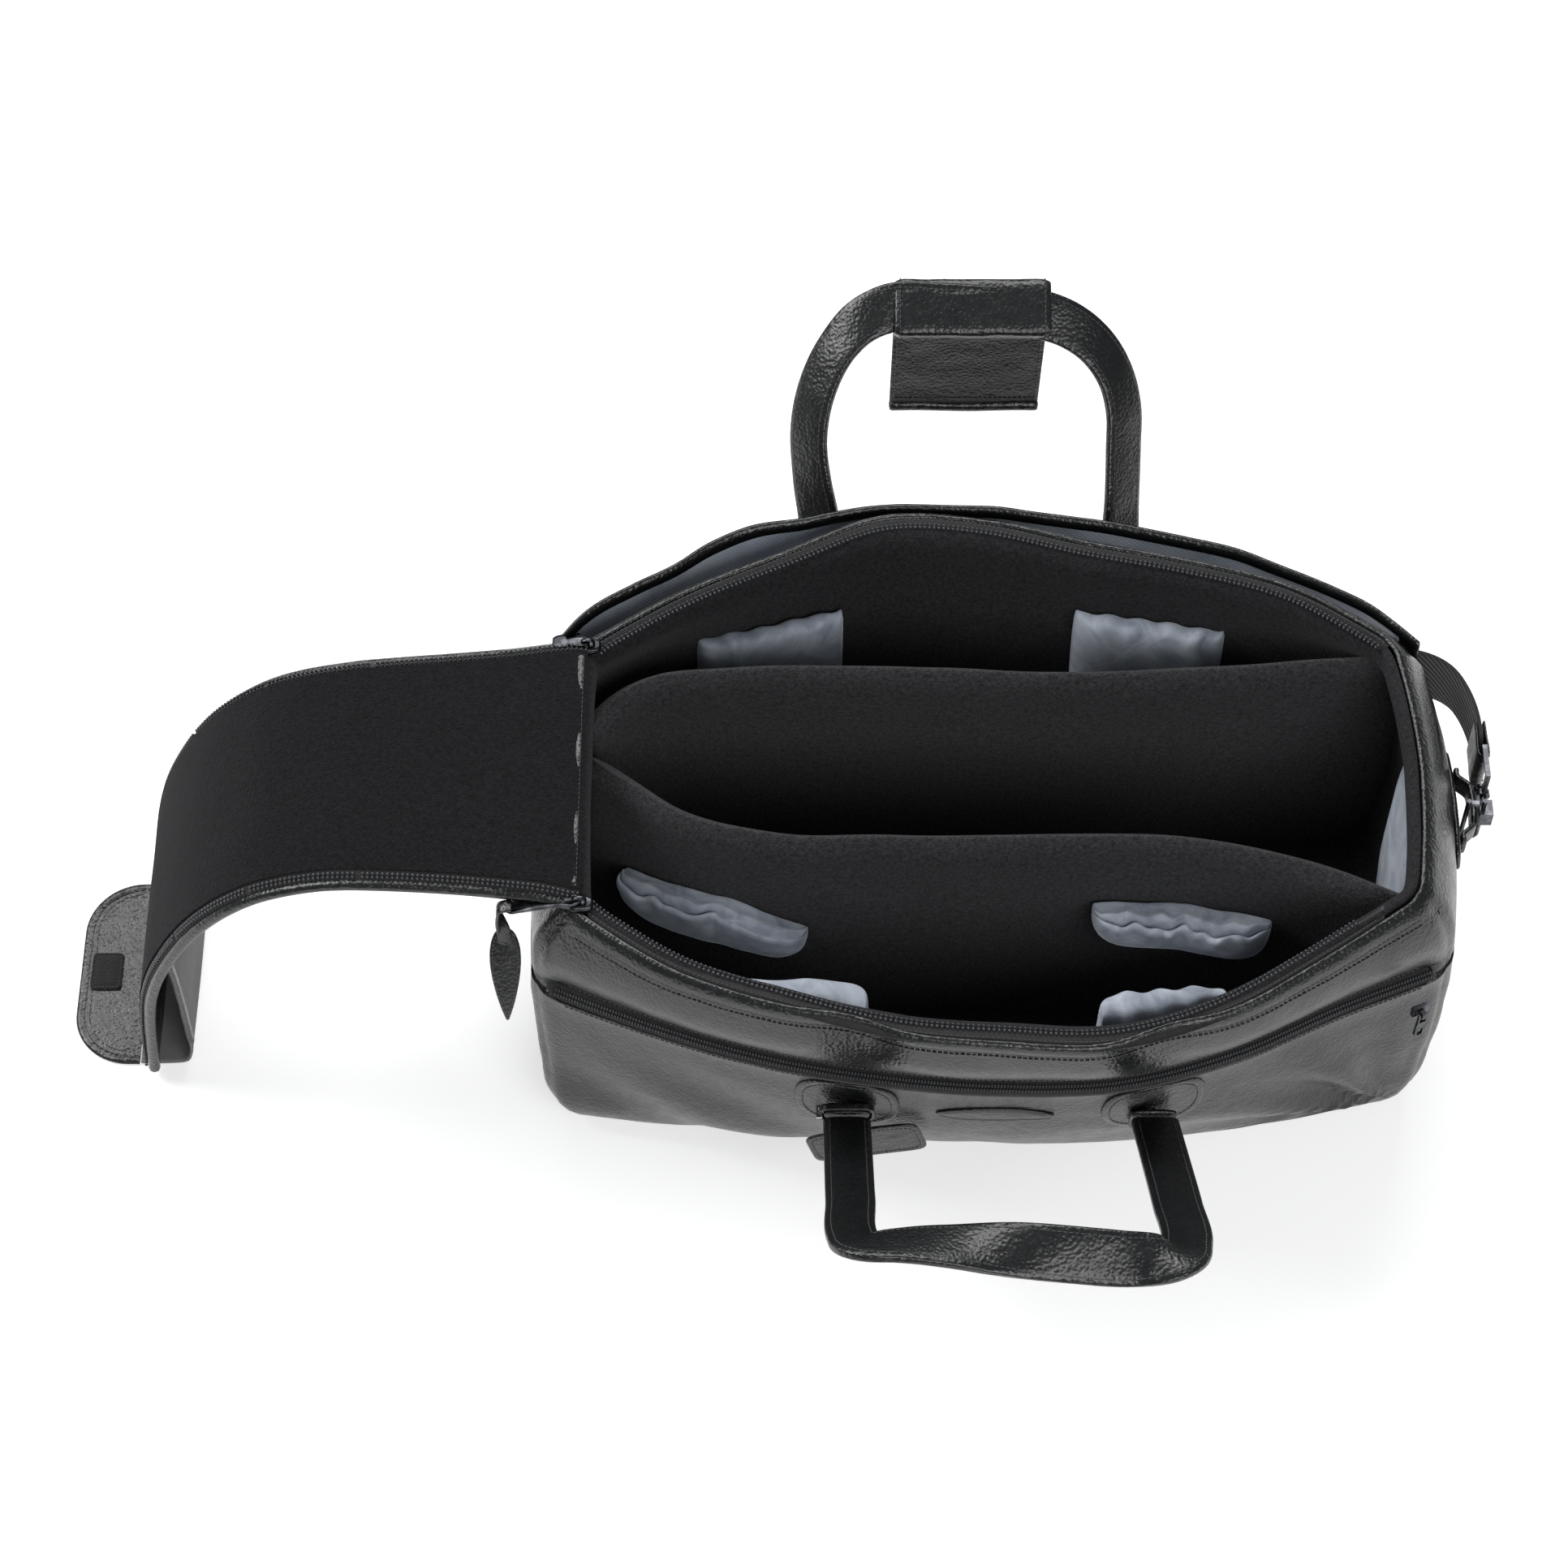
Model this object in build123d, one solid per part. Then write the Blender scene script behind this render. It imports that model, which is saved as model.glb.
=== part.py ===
from build123d import *
import math
import os

os.makedirs("parts", exist_ok=True)

# Soft leather gig bag for three trumpets, standing open: the zip round its mouth is undone and
# the long lid lies folded out over the left end, down to the floor.
# Frame: +X along the bag to its right end, +Y to its back, +Z up. The origin is on the floor,
# under the middle of the body. Millimetres.

# ---- driving dimensions ---------------------------------------------------------------------
# Outer envelope of the body by height: half length, half width at the ends, half width at the
# middle, where the open mouth pushes the long walls apart.
BASE_HALF_LENGTH, BASE_END_WIDTH, BASE_MID_WIDTH = 268.0, 105.0, 117.0
BELLY_HEIGHT, BELLY_HALF_LENGTH, BELLY_END_WIDTH, BELLY_MID_WIDTH = 75.0, 282.0, 106.0, 160.0
ZIP_HEIGHT, ZIP_HALF_LENGTH, ZIP_END_WIDTH, ZIP_MID_WIDTH = 168.0, 284.0, 103.0, 176.0
SHOULDER_HEIGHT, SHOULDER_END_WIDTH, SHOULDER_MID_WIDTH = 200.0, 97.0, 183.0
SHOULDER_HALF_LENGTH = ZIP_HALF_LENGTH - 1.0     # the ends lean in a little above the zip
RIM_HEIGHT, RIM_END_WIDTH, RIM_MID_WIDTH = 240.0, 88.0, 189.0
RIM_HALF_LENGTH = ZIP_HALF_LENGTH - 28.0

LEATHER = 2.0              # one skin of garment leather with its backing
PADDING = 10.0             # foam with the pile lining on it
LAYER_GAP = 0.4            # between layers that lie on each other
BASE_SKIN = 3.0            # doubled leather under the bag
BASE_BOARD = 3.0           # stiffener inside the bottom
SEAM_GAP = 0.3             # between parts that are sewn or fitted to each other
BOARD_INSET = 3.2          # board's edge to the outside
FLOOR_PADDING = 8.0
LINING_TOP = 234.0         # the padding stops under the zip tape

MOUTH_TAPE_WIDTH, MOUTH_TAPE_THICKNESS = 9.0, 1.0
MOUTH_CHAIN_WIDTH, MOUTH_CHAIN_HEIGHT = 4.0, 2.6
MOUTH_CHAIN_LEFT = 12.0 - RIM_HALF_LENGTH        # the left slider sits in the rest of the rim
MOUTH_CHAIN_RIGHT = RIM_HALF_LENGTH - 41.0

POCKET_ZIP_WIDTH = 9.6     # gap in the front leather that the pocket zip fills
POCKET_CHAIN_WIDTH, POCKET_CHAIN_RISE = 4.0, 1.3
POCKET_CHAIN_STOP = 12.0   # teeth end this far from the outside of the ends

SLIP_LIP_HEIGHT, SLIP_LIP_END, SLIP_LIP_MID = 232.0, 96.0, 210.0
SLIP_BOTTOM = 14.0         # where the back slip pocket is sewn down
SLIP_SEAM = 0.6            # its side edges lie this near to the back wall
SLIP_STAND_OFF = 2.5       # room behind its panel down there
SLIP_BULGE = 14.0          # room behind it at the height of the pocket zip
SLIP_SHOULDER_MID = 198.0  # inner face of the panel at the height of the shoulder
SLIP_SHOULDER_ROOM = 2.0   # and at its side edges above that
SLIP_LIP_OVERHANG = 6.0    # the lip is this much longer than the rim at each end

DIVIDER_THICKNESS, DIVIDER_TOP = 22.0, 226.0
DIVIDER_REACH = 9.0        # the dividers run this near to the outside of the ends
DIVIDER_JOIN = 243.0       # the two are gathered together this far left of the middle

VELVET = 10.0              # thickness of a velvet pad
PAD_BOTTOM, PAD_TOP = 120.0, 200.0
FRONT_PAD_BOTTOM, FRONT_PAD_TOP = 110.0, 214.0
FRONT_VELVET = 24.0        # the pads of the front wall are thicker
BACK_PADS = ((-190.0, -92.0), (52.0, 152.0))     # where each starts and ends along the bag
FRONT_PADS = ((-166.0, -80.0), (54.0, 136.0))
BELL_PAD_SPAN, BELL_PAD_HEIGHTS = (-56.0, 42.0), (60.0, 222.0)
LEFT_PAD_SPAN, LEFT_PAD_HEIGHTS = (-88.0, -14.0), (90.0, 205.0)
# Lines that the two pouches are sewn along, on the front face of the front divider.
LEFT_POUCH_LINE = ((-214.0, -22.7), (-190.0, -33.0), (-132.0, -46.7), (-118.0, -47.3))
RIGHT_POUCH_LINE = ((60.0, -47.6), (112.0, -48.2), (166.0, -61.0))
LEFT_POUCH_BOTTOM, LEFT_POUCH_TOP = 124.0, 172.0
RIGHT_POUCH_BOTTOM, RIGHT_POUCH_TOP = 144.0, 180.0

LID_START, LID_AXIS_HEIGHT = -RIM_HALF_LENGTH, RIM_HEIGHT + 6.0
LID_LENGTHS = (150.0, 70.0, 74.0, 147.0)
LID_ANGLES = (0.0, 24.0, 52.0, 82.0)             # below the level, segment by segment
LID_ROOT_HALF_WIDTH, LID_TIP_HALF_WIDTH = 83.0, 70.0
LID_SKIN = 2.0
LID_PADDING = 8.0
LID_TAPE = 6.0             # zip tape and teeth along each long edge
LID_HINGE_GAP = 2.0        # first segment starts this far from the fold
LID_SEAM = 0.35            # between neighbouring segments

TONGUE_LENGTH, TONGUE_HALF_WIDTH, TONGUE_THICKNESS = 45.0, 68.0, 2.4
TONGUE_CORNER = 38.0
END_POCKET_DEPTH = 24.0    # room in the pocket behind the free end of the lid, at the floor
HOOK_PATCH = (21.0, 28.0)  # hook-and-loop on the tongue, X by Y
HOOK_PATCH_MARGIN, HOOK_PATCH_THICKNESS = 7.0, 1.6

HANDLE_SPACING = 186.0     # between the middles of the two legs
FRONT_REACH, REAR_REACH = 222.0, 226.0           # anchor line to the outer edge of the grip
STRAP_WIDTH, STRAP_THICKNESS = 29.0, 6.0
GRIP_WIDTH = 32.0
ANCHOR_HEIGHT = 128.0
ANCHOR_PATCH_WIDTH, ANCHOR_PATCH_HEIGHT, ANCHOR_PATCH = 65.0, 66.0, 2.4
ANCHOR_STAND_OFF = 10.0    # sewn end of the strap, patch to pivot
STUB_HEIGHT = 12.0
FRONT_HANDLE_ANGLE = 41.0  # above the level, standing out by its own stiffness
REAR_HANDLE_ANGLE = 49.0
FRONT_HANDLE_X, REAR_HANDLE_X = 0.0, -10.0
FRONT_CORNER, REAR_CORNER = 20.0, 44.0           # outer radius where a leg turns into the grip
PIVOT_GAP = 0.3
WRAP_LENGTH, WRAP_SLEEVE, WRAP_DROP, WRAP_THICKNESS = 102.0, 3.0, 100.0, 3.0

SHOULDER_STRAP_WIDTH, SHOULDER_STRAP_THICKNESS = 38.0, 2.4
STRAP_PLAN_HALF_LENGTH = ZIP_HALF_LENGTH + 17.0  # the strap leaves the ends edge-on
STRAP_PLAN_DEPTH, STRAP_CORNER = 226.0, 112.0
END_TAB_HEIGHT = 184.0     # middle of the leather loop at each end
END_TAB_SPAN = (-30.0, 50.0)                     # along the end
TAB_LOOP_SPAN, TAB_LOOP_REACH, TAB_LEATHER = (-10.0, 30.0), 10.0, 2.2
TAB_ROOM_SPAN, TAB_ROOM = (-4.0, 24.0), 6.0      # free space inside the loop
TAB_HALF_HEIGHT = 8.0
HOOK_Y = 4.0
HOOK_WIRE, HOOK_HEIGHT = 3.0, 36.0
HOOK_DROP = 16.0           # bottom of the hook's legs, under the middle of the loop
SWIVEL_LENGTH = 14.0       # hook to the nut of the strap's frame
FRAME_WIRE, FRAME_DEPTH = 3.0, 22.0
GATE = 2.6

LEVELS = (
    (0.0, BASE_HALF_LENGTH, BASE_END_WIDTH, BASE_MID_WIDTH),
    (BELLY_HEIGHT, BELLY_HALF_LENGTH, BELLY_END_WIDTH, BELLY_MID_WIDTH),
    (ZIP_HEIGHT, ZIP_HALF_LENGTH, ZIP_END_WIDTH, ZIP_MID_WIDTH),
    (SHOULDER_HEIGHT, SHOULDER_HALF_LENGTH, SHOULDER_END_WIDTH, SHOULDER_MID_WIDTH),
    (RIM_HEIGHT, RIM_HALF_LENGTH, RIM_END_WIDTH, RIM_MID_WIDTH),
)
# Inner face of the slip pocket on the back, level by level in the same way.
SLIP_LEVELS = (
    (0.0, BASE_HALF_LENGTH, BASE_END_WIDTH + SLIP_SEAM, BASE_MID_WIDTH + SLIP_STAND_OFF),
    (BELLY_HEIGHT, BELLY_HALF_LENGTH, BELLY_END_WIDTH + SLIP_SEAM, BELLY_MID_WIDTH + SLIP_STAND_OFF),
    (ZIP_HEIGHT, ZIP_HALF_LENGTH, ZIP_END_WIDTH + SLIP_SEAM, ZIP_MID_WIDTH + SLIP_BULGE),
    (SHOULDER_HEIGHT, SHOULDER_HALF_LENGTH, SHOULDER_END_WIDTH + SLIP_SHOULDER_ROOM, SLIP_SHOULDER_MID),
    (SLIP_LIP_HEIGHT, RIM_HALF_LENGTH + SLIP_LIP_OVERHANG, SLIP_LIP_END, SLIP_LIP_MID),
)
FRONT, REAR = -1, 1
LEFT, RIGHT = -1, 1

# Layers of a wall, each from its outer to its inner face, measured in from the envelope.
OUTER_SKIN = (0.0, LEATHER)
INNER_SKIN = (LEATHER + LAYER_GAP, 2 * LEATHER + LAYER_GAP)
FRONT_PAD_START = INNER_SKIN[1] + LAYER_GAP
FRONT_LINING = (FRONT_PAD_START, FRONT_PAD_START + PADDING)
REAR_LINING = (LEATHER + LAYER_GAP, LEATHER + LAYER_GAP + PADDING)
END_LINING = REAR_LINING
FRONT_CLEAR = FRONT_LINING[1] + LAYER_GAP
REAR_CLEAR = REAR_LINING[1] + LAYER_GAP
WALL_BOTTOM = BASE_SKIN + SEAM_GAP
FLOOR_TOP = WALL_BOTTOM + BASE_BOARD + SEAM_GAP + FLOOR_PADDING


# ---- the envelope -----------------------------------------------------------------------------
def envelope(z, levels=LEVELS):
    """Half length, half width at the ends and half width at the middle, at height z."""
    for (z0, *low), (z1, *high) in zip(levels, levels[1:]):
        if z <= z1:
            t = (z - z0) / (z1 - z0)
            return tuple(a + (b - a) * t for a, b in zip(low, high))
    return tuple(levels[-1][1:])


def heights(z_low, z_high, levels=LEVELS):
    """The two heights, with every level of the envelope between them."""
    between = [level[0] for level in levels if z_low + 1 < level[0] < z_high - 1]
    return [z_low, *between, z_high]


def arc_y(half_length, end_width, mid_width, x):
    """Y on the plan arc that runs through the two ends and the middle."""
    rise = mid_width - end_width
    radius = (half_length**2 + rise**2) / (2 * rise)
    return mid_width - radius + math.sqrt(radius**2 - x**2)


def wall_y(z, x, inset=0.0, levels=LEVELS):
    half_length, end_width, mid_width = envelope(z, levels)
    return arc_y(half_length, end_width - inset, mid_width - inset, x)


def band(half_length, outer, inner, z):
    """Plan face between two arcs, each given as its Y at the ends and at the middle."""
    far = ThreePointArc((-half_length, outer[0], z), (0, outer[1], z), (half_length, outer[0], z))
    near = ThreePointArc((half_length, inner[0], z), (0, inner[1], z), (-half_length, inner[0], z))
    right = Line(far @ 1, near @ 0)
    left = Line(near @ 1, far @ 0)
    return make_face([far, right, near, left])


def wall(side, layer, z_low, z_high, levels=LEVELS):
    """One layer of a long wall, from height to height."""
    faces = []
    for z in heights(z_low, z_high, levels):
        half_length, end_width, mid_width = envelope(z, levels)
        outer = (side * (end_width - layer[0]), side * (mid_width - layer[0]))
        inner = (side * (end_width - layer[1]), side * (mid_width - layer[1]))
        faces.append(band(half_length, outer, inner, z))
    return loft(faces, ruled=True)


def end_wall(side, layer, z_low, z_high):
    """One layer of an end wall, fitted between the long walls."""
    faces = []
    for z in heights(z_low, z_high):
        half_length, end_width, _ = envelope(z)
        x0 = side * (half_length - layer[0])
        x1 = side * (half_length - layer[1])
        y0, y1 = FRONT_CLEAR - end_width, end_width - REAR_CLEAR
        outline = Polyline((x0, y0, z), (x1, y0, z), (x1, y1, z), (x0, y1, z), close=True)
        faces.append(make_face(outline))
    return loft(faces, ruled=True)


def plan(z, end_inset, front_inset, rear_inset):
    """Whole plan outline of the bag at a height, drawn in from the envelope."""
    half_length, end_width, mid_width = envelope(z)
    x = half_length - end_inset
    front_end = -arc_y(half_length, end_width - front_inset, mid_width - front_inset, x)
    rear_end = arc_y(half_length, end_width - rear_inset, mid_width - rear_inset, x)
    front = ThreePointArc((-x, front_end, z), (0, front_inset - mid_width, z), (x, front_end, z))
    rear = ThreePointArc((x, rear_end, z), (0, mid_width - rear_inset, z), (-x, rear_end, z))
    return make_face([front, Line(front @ 1, rear @ 0), rear, Line(rear @ 1, front @ 0)])


def slab(z_low, z_high, end_inset, front_inset, rear_inset):
    faces = [
        plan(z, end_inset, front_inset, rear_inset) for z in (z_low, z_high)
    ]
    return loft(faces, ruled=True)


def interior():
    """The free space inside the linings, a little clear of them."""
    faces = []
    for z in heights(FLOOR_TOP + SEAM_GAP, RIM_HEIGHT):
        faces.append(plan(z, END_LINING[1] + LAYER_GAP, FRONT_CLEAR, REAR_CLEAR))
    return loft(faces, ruled=True)


def block(x0, x1, y0, y1, z0, z1):
    size = (abs(x1 - x0), abs(y1 - y0), abs(z1 - z0))
    centre = ((x0 + x1) / 2, (y0 + y1) / 2, (z0 + z1) / 2)
    return Pos(*centre) * Box(*size)


# ---- body -------------------------------------------------------------------------------------
def base_panel():
    return slab(0, BASE_SKIN, 0, 0, 0)


def base_board():
    low = WALL_BOTTOM
    return slab(low, low + BASE_BOARD, BOARD_INSET, FRONT_PAD_START + 0.2, LEATHER + 2 * LAYER_GAP)


def floor_lining():
    low = WALL_BOTTOM + BASE_BOARD + SEAM_GAP
    return slab(low, FLOOR_TOP, 3.0, FRONT_PAD_START, LEATHER + 0.6)


def front_wall():
    return wall(FRONT, INNER_SKIN, WALL_BOTTOM, RIM_HEIGHT - 0.4)


def front_band():
    return wall(FRONT, OUTER_SKIN, ZIP_HEIGHT + POCKET_ZIP_WIDTH / 2 + SEAM_GAP, RIM_HEIGHT)


def front_pocket_panel():
    return wall(FRONT, OUTER_SKIN, WALL_BOTTOM, ZIP_HEIGHT - POCKET_ZIP_WIDTH / 2 - SEAM_GAP)


def rear_wall():
    return wall(REAR, OUTER_SKIN, WALL_BOTTOM, RIM_HEIGHT)


def slip_pocket_panel():
    """Outer pocket on the back: sewn down low, its lip standing open at the top."""
    return wall(REAR, (-LEATHER, 0), SLIP_BOTTOM, SLIP_LIP_HEIGHT, SLIP_LEVELS)


def mouth_tape(side):
    """Zip tape sewn inside the rim of one long side."""
    start = FRONT_CLEAR - PADDING if side == FRONT else LEATHER + LAYER_GAP
    layer = (start, start + MOUTH_TAPE_WIDTH)
    top = RIM_HEIGHT - 0.8
    strip = wall(side, layer, top - MOUTH_TAPE_THICKNESS, top)
    keep = block(MOUTH_CHAIN_LEFT, MOUTH_CHAIN_RIGHT, 0, side * 300, 0, 300)
    return strip & keep


def mouth_chain(side):
    """Teeth along the free edge of the mouth tape."""
    start = FRONT_CLEAR - PADDING if side == FRONT else LEATHER + LAYER_GAP
    start += MOUTH_TAPE_WIDTH + 0.3
    top = RIM_HEIGHT - 0.1
    strip = wall(side, (start, start + MOUTH_CHAIN_WIDTH), top - MOUTH_CHAIN_HEIGHT, top)
    keep = block(MOUTH_CHAIN_LEFT, MOUTH_CHAIN_RIGHT, 0, side * 300, 0, 300)
    return strip & keep


def pocket_zip_tape():
    half = POCKET_ZIP_WIDTH / 2
    return wall(FRONT, (0.6, LEATHER), ZIP_HEIGHT - half, ZIP_HEIGHT + half)


def pocket_zip_chain():
    half = POCKET_CHAIN_WIDTH / 2
    layer = (0.3 - POCKET_CHAIN_RISE, 0.3)
    strip = wall(FRONT, layer, ZIP_HEIGHT - half, ZIP_HEIGHT + half)
    end = ZIP_HALF_LENGTH - POCKET_CHAIN_STOP
    return strip & block(-end, end, -300, 0, 0, 300)


# ---- inside -----------------------------------------------------------------------------------
def divider(points):
    line = Polyline(*points)
    flat = trace(line, DIVIDER_THICKNESS)
    tall = extrude(flat, DIVIDER_TOP - FLOOR_TOP - SEAM_GAP)
    return Pos(0, 0, FLOOR_TOP + SEAM_GAP) * tall & interior()


def rear_divider():
    end = ZIP_HALF_LENGTH - DIVIDER_REACH
    points = ((-end, 27), (-DIVIDER_JOIN, 30), (-224, 66), (-196, 85), (-140, 91), (150, 91), (end, 97))
    return divider(points)


def front_divider():
    end = ZIP_HALF_LENGTH - DIVIDER_REACH
    points = ((-end, 4), (-DIVIDER_JOIN, 2), (-196, -18), (-130, -34), (110, -36), (180, -52), (end, -84))
    return divider(points)


def rear_pad(x0, x1):
    """Velvet pouch lying on the back lining."""
    start = REAR_CLEAR
    layer = wall(REAR, (start, start + VELVET), PAD_BOTTOM, PAD_TOP)
    return layer & block(x0, x1, 0, 300, 0, 300)


def front_wall_pad(x0, x1):
    """Thick velvet pad on the front lining."""
    layer = wall(FRONT, (FRONT_CLEAR, FRONT_CLEAR + FRONT_VELVET), FRONT_PAD_BOTTOM, FRONT_PAD_TOP)
    return layer & block(x0, x1, -300, 0, 0, 300)


def bell_pad():
    start = END_LINING[1] + LAYER_GAP
    layer = end_wall(RIGHT, (start, start + VELVET), *BELL_PAD_HEIGHTS)
    return layer & block(0, 2 * ZIP_HALF_LENGTH, *BELL_PAD_SPAN, 0, RIM_HEIGHT)


def end_pad():
    start = END_LINING[1] + LAYER_GAP
    layer = end_wall(LEFT, (start, start + VELVET / 2), *LEFT_PAD_HEIGHTS)
    return layer & block(-2 * ZIP_HALF_LENGTH, 0, *LEFT_PAD_SPAN, 0, RIM_HEIGHT)


def divider_pouch(points, thickness, low, high):
    """Velvet pouch sewn on the front face of the front divider."""
    front = [(x, y - thickness) for x, y in reversed(points)]
    outline = Polyline(*points, *front, close=True)
    return Pos(0, 0, low) * extrude(make_face(outline), high - low)


def left_pouch():
    return divider_pouch(LEFT_POUCH_LINE, 2 * VELVET, LEFT_POUCH_BOTTOM, LEFT_POUCH_TOP)


def right_pouch():
    return divider_pouch(RIGHT_POUCH_LINE, 2.4 * VELVET, RIGHT_POUCH_BOTTOM, RIGHT_POUCH_TOP)


# ---- lid --------------------------------------------------------------------------------------
LID_THICKNESS = LID_SKIN + LID_PADDING


def lid_frames():
    """Where each segment of the lid starts on its leather face, with its slope and half width."""
    x, z = LID_START, LID_AXIS_HEIGHT - LID_THICKNESS / 2
    total = sum(LID_LENGTHS)
    run = 0.0
    frames = []
    for length, angle in zip(LID_LENGTHS, LID_ANGLES):
        width = LID_ROOT_HALF_WIDTH
        width += (LID_TIP_HALF_WIDTH - LID_ROOT_HALF_WIDTH) * run / total
        frames.append((x, z, angle, length, width))
        x -= length * math.cos(math.radians(angle))
        z -= length * math.sin(math.radians(angle))
        run += length
    frames.append((x, z, LID_ANGLES[-1], 0.0, LID_TIP_HALF_WIDTH))
    return frames


LID_FRAMES = lid_frames()
LID_TIP_X = LID_FRAMES[-1][0]


def lid_plate(index, low, high, y_outer, y_inner=0.0):
    """One layer of one lid segment. Low and high are measured up from the leather face. The
    neighbours turn about the leather face, so the segment is a plain plate between its ends."""
    x, z, angle, length, width0 = LID_FRAMES[index]
    width1 = LID_FRAMES[index + 1][4]
    start = LID_HINGE_GAP if index == 0 else LID_SEAM
    a0, a1 = width0 - y_outer, width1 - y_outer
    if y_inner:
        b0, b1 = width0 - y_inner, width1 - y_inner
        near = Polyline((-start, a0), (-length, a1), (-length, b1), (-start, b0), close=True)
        faces = [make_face(near), mirror(make_face(near), Plane.XZ)]
    else:
        whole = Polyline((-start, a0), (-length, a1), (-length, -a1), (-start, -a0), close=True)
        faces = [make_face(whole)]
    plates = [extrude(Pos(0, 0, low) * face, high - low) for face in faces]
    turned = [Pos(x, 0, z) * Rot(0, -angle, 0) * plate for plate in plates]
    return Compound(children=turned) if len(turned) > 1 else turned[0]


def lid_skin(index):
    return lid_plate(index, 0, LID_SKIN, 0)


def lid_lining(index):
    return lid_plate(index, LID_SKIN + 0.3, LID_THICKNESS, LID_TAPE + 0.4)


def lid_zip(index):
    return lid_plate(index, LID_SKIN + 0.3, LID_SKIN + 3.3, 0.4, LID_TAPE)


def lid_fold():
    """The seam that the lid turns on: a strip of leather rising from the left end."""
    width = LID_ROOT_HALF_WIDTH - 4
    stem = block(LID_START - 0.8, LID_START + 0.8, -width, width, RIM_HEIGHT + 0.3, LID_AXIS_HEIGHT)
    roll = Pos(LID_START, 0, LID_AXIS_HEIGHT) * Rot(90, 0, 0) * Cylinder(1.6, 2 * width)
    return stem + roll


TONGUE_ROOT_X = LID_TIP_X - LID_THICKNESS - 2.4
TONGUE_AXIS = (TONGUE_ROOT_X + 0.2, TONGUE_THICKNESS + 0.2)


def end_pocket():
    """Leather wall and floor of the pocket behind the free end of the lid."""
    fold_x, fold_z = LID_FRAMES[-2][:2]
    slope = math.radians(LID_ANGLES[-1])
    down, out = (-math.cos(slope), -math.sin(slope)), (math.sin(slope), -math.cos(slope))
    seam = [(fold_x + 6 * down[0] + gap * out[0], fold_z + 6 * down[1] + gap * out[1])
            for gap in (0.3 + LEATHER, 0.3)]
    left_x, right_x = TONGUE_ROOT_X + 0.4, LID_TIP_X + END_POCKET_DEPTH
    floor_top = 0.2 + TONGUE_THICKNESS
    outline = Polyline(
        (left_x, 0.2), (right_x, 0.2), seam[0], seam[1], (right_x - LEATHER, floor_top),
        (left_x, floor_top), close=True,
    )
    half = TONGUE_HALF_WIDTH
    return Pos(0, half, 0) * extrude(Plane.XZ * make_face(outline), 2 * half)


def tongue():
    """Rounded closing flap of that pocket, lying out on the floor."""
    half, radius = TONGUE_HALF_WIDTH, TONGUE_CORNER
    tip_x = TONGUE_ROOT_X - TONGUE_LENGTH
    sheet = block(tip_x, TONGUE_ROOT_X, -half, half, 0, TONGUE_THICKNESS)
    corners = sheet.edges().filter_by(Axis.Z).group_by(Axis.X)[0]
    return fillet(corners, radius)


def tongue_patch():
    """Hook-and-loop patch on the tongue."""
    x0 = TONGUE_ROOT_X - TONGUE_LENGTH + HOOK_PATCH_MARGIN
    low = TONGUE_THICKNESS + 0.2
    half = HOOK_PATCH[1] / 2
    return block(x0, x0 + HOOK_PATCH[0], -half, half, low, low + HOOK_PATCH_THICKNESS)


# ---- handles ----------------------------------------------------------------------------------
def anchor_skin(side):
    """Levels of the leather that a handle's patches are sewn on, and how thick it is."""
    return (SLIP_LEVELS, LEATHER) if side == REAR else (LEVELS, 0.0)


def anchor_y(side, x):
    """Y of the line that a handle leg turns on."""
    levels, skin = anchor_skin(side)
    face = wall_y(ANCHOR_HEIGHT, x, -skin, levels)
    return side * (face + 0.3 + ANCHOR_PATCH + ANCHOR_STAND_OFF)


ANCHOR_INNER_X = (HANDLE_SPACING - STRAP_WIDTH) / 2    # where the arched wall stands out most
FRONT_ANCHOR_Y = anchor_y(FRONT, ANCHOR_INNER_X - abs(FRONT_HANDLE_X))
REAR_ANCHOR_Y = anchor_y(REAR, ANCHOR_INNER_X - abs(REAR_HANDLE_X))


def handle_at(side, shape):
    """Moves a shape drawn flat, with Y along the reach, to a handle's place."""
    angle = FRONT_HANDLE_ANGLE if side == FRONT else REAR_HANDLE_ANGLE
    y = FRONT_ANCHOR_Y if side == FRONT else REAR_ANCHOR_Y
    x = FRONT_HANDLE_X if side == FRONT else REAR_HANDLE_X
    turn = angle if side == REAR else 180 - angle
    return Pos(x, y, ANCHOR_HEIGHT) * Rot(turn, 0, 0) * shape


def handle(side, corner):
    """Stitched strap in one loop: two legs and a grip, with round roots that turn at the anchors."""
    half = HANDLE_SPACING / 2
    reach = FRONT_REACH if side == FRONT else REAR_REACH
    outer = half + STRAP_WIDTH / 2
    inner = half - STRAP_WIDTH / 2
    loop = Pos(0, reach / 2) * Rectangle(2 * outer, reach)
    loop = fillet(loop.vertices().group_by(Axis.Y)[-1], corner)
    hole_depth = reach - GRIP_WIDTH
    hole = Pos(0, hole_depth / 2) * Rectangle(2 * inner, hole_depth)
    hole = fillet(hole.vertices().group_by(Axis.Y)[-1], corner - STRAP_WIDTH * 0.6)
    flat = extrude(loop - hole, STRAP_THICKNESS / 2, both=True)
    roots = [
        Pos(x, 0, 0) * Rot(0, 90, 0) * Cylinder(STRAP_THICKNESS / 2, STRAP_WIDTH)
        for x in (-half, half)
    ]
    return handle_at(side, flat + roots)


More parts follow.
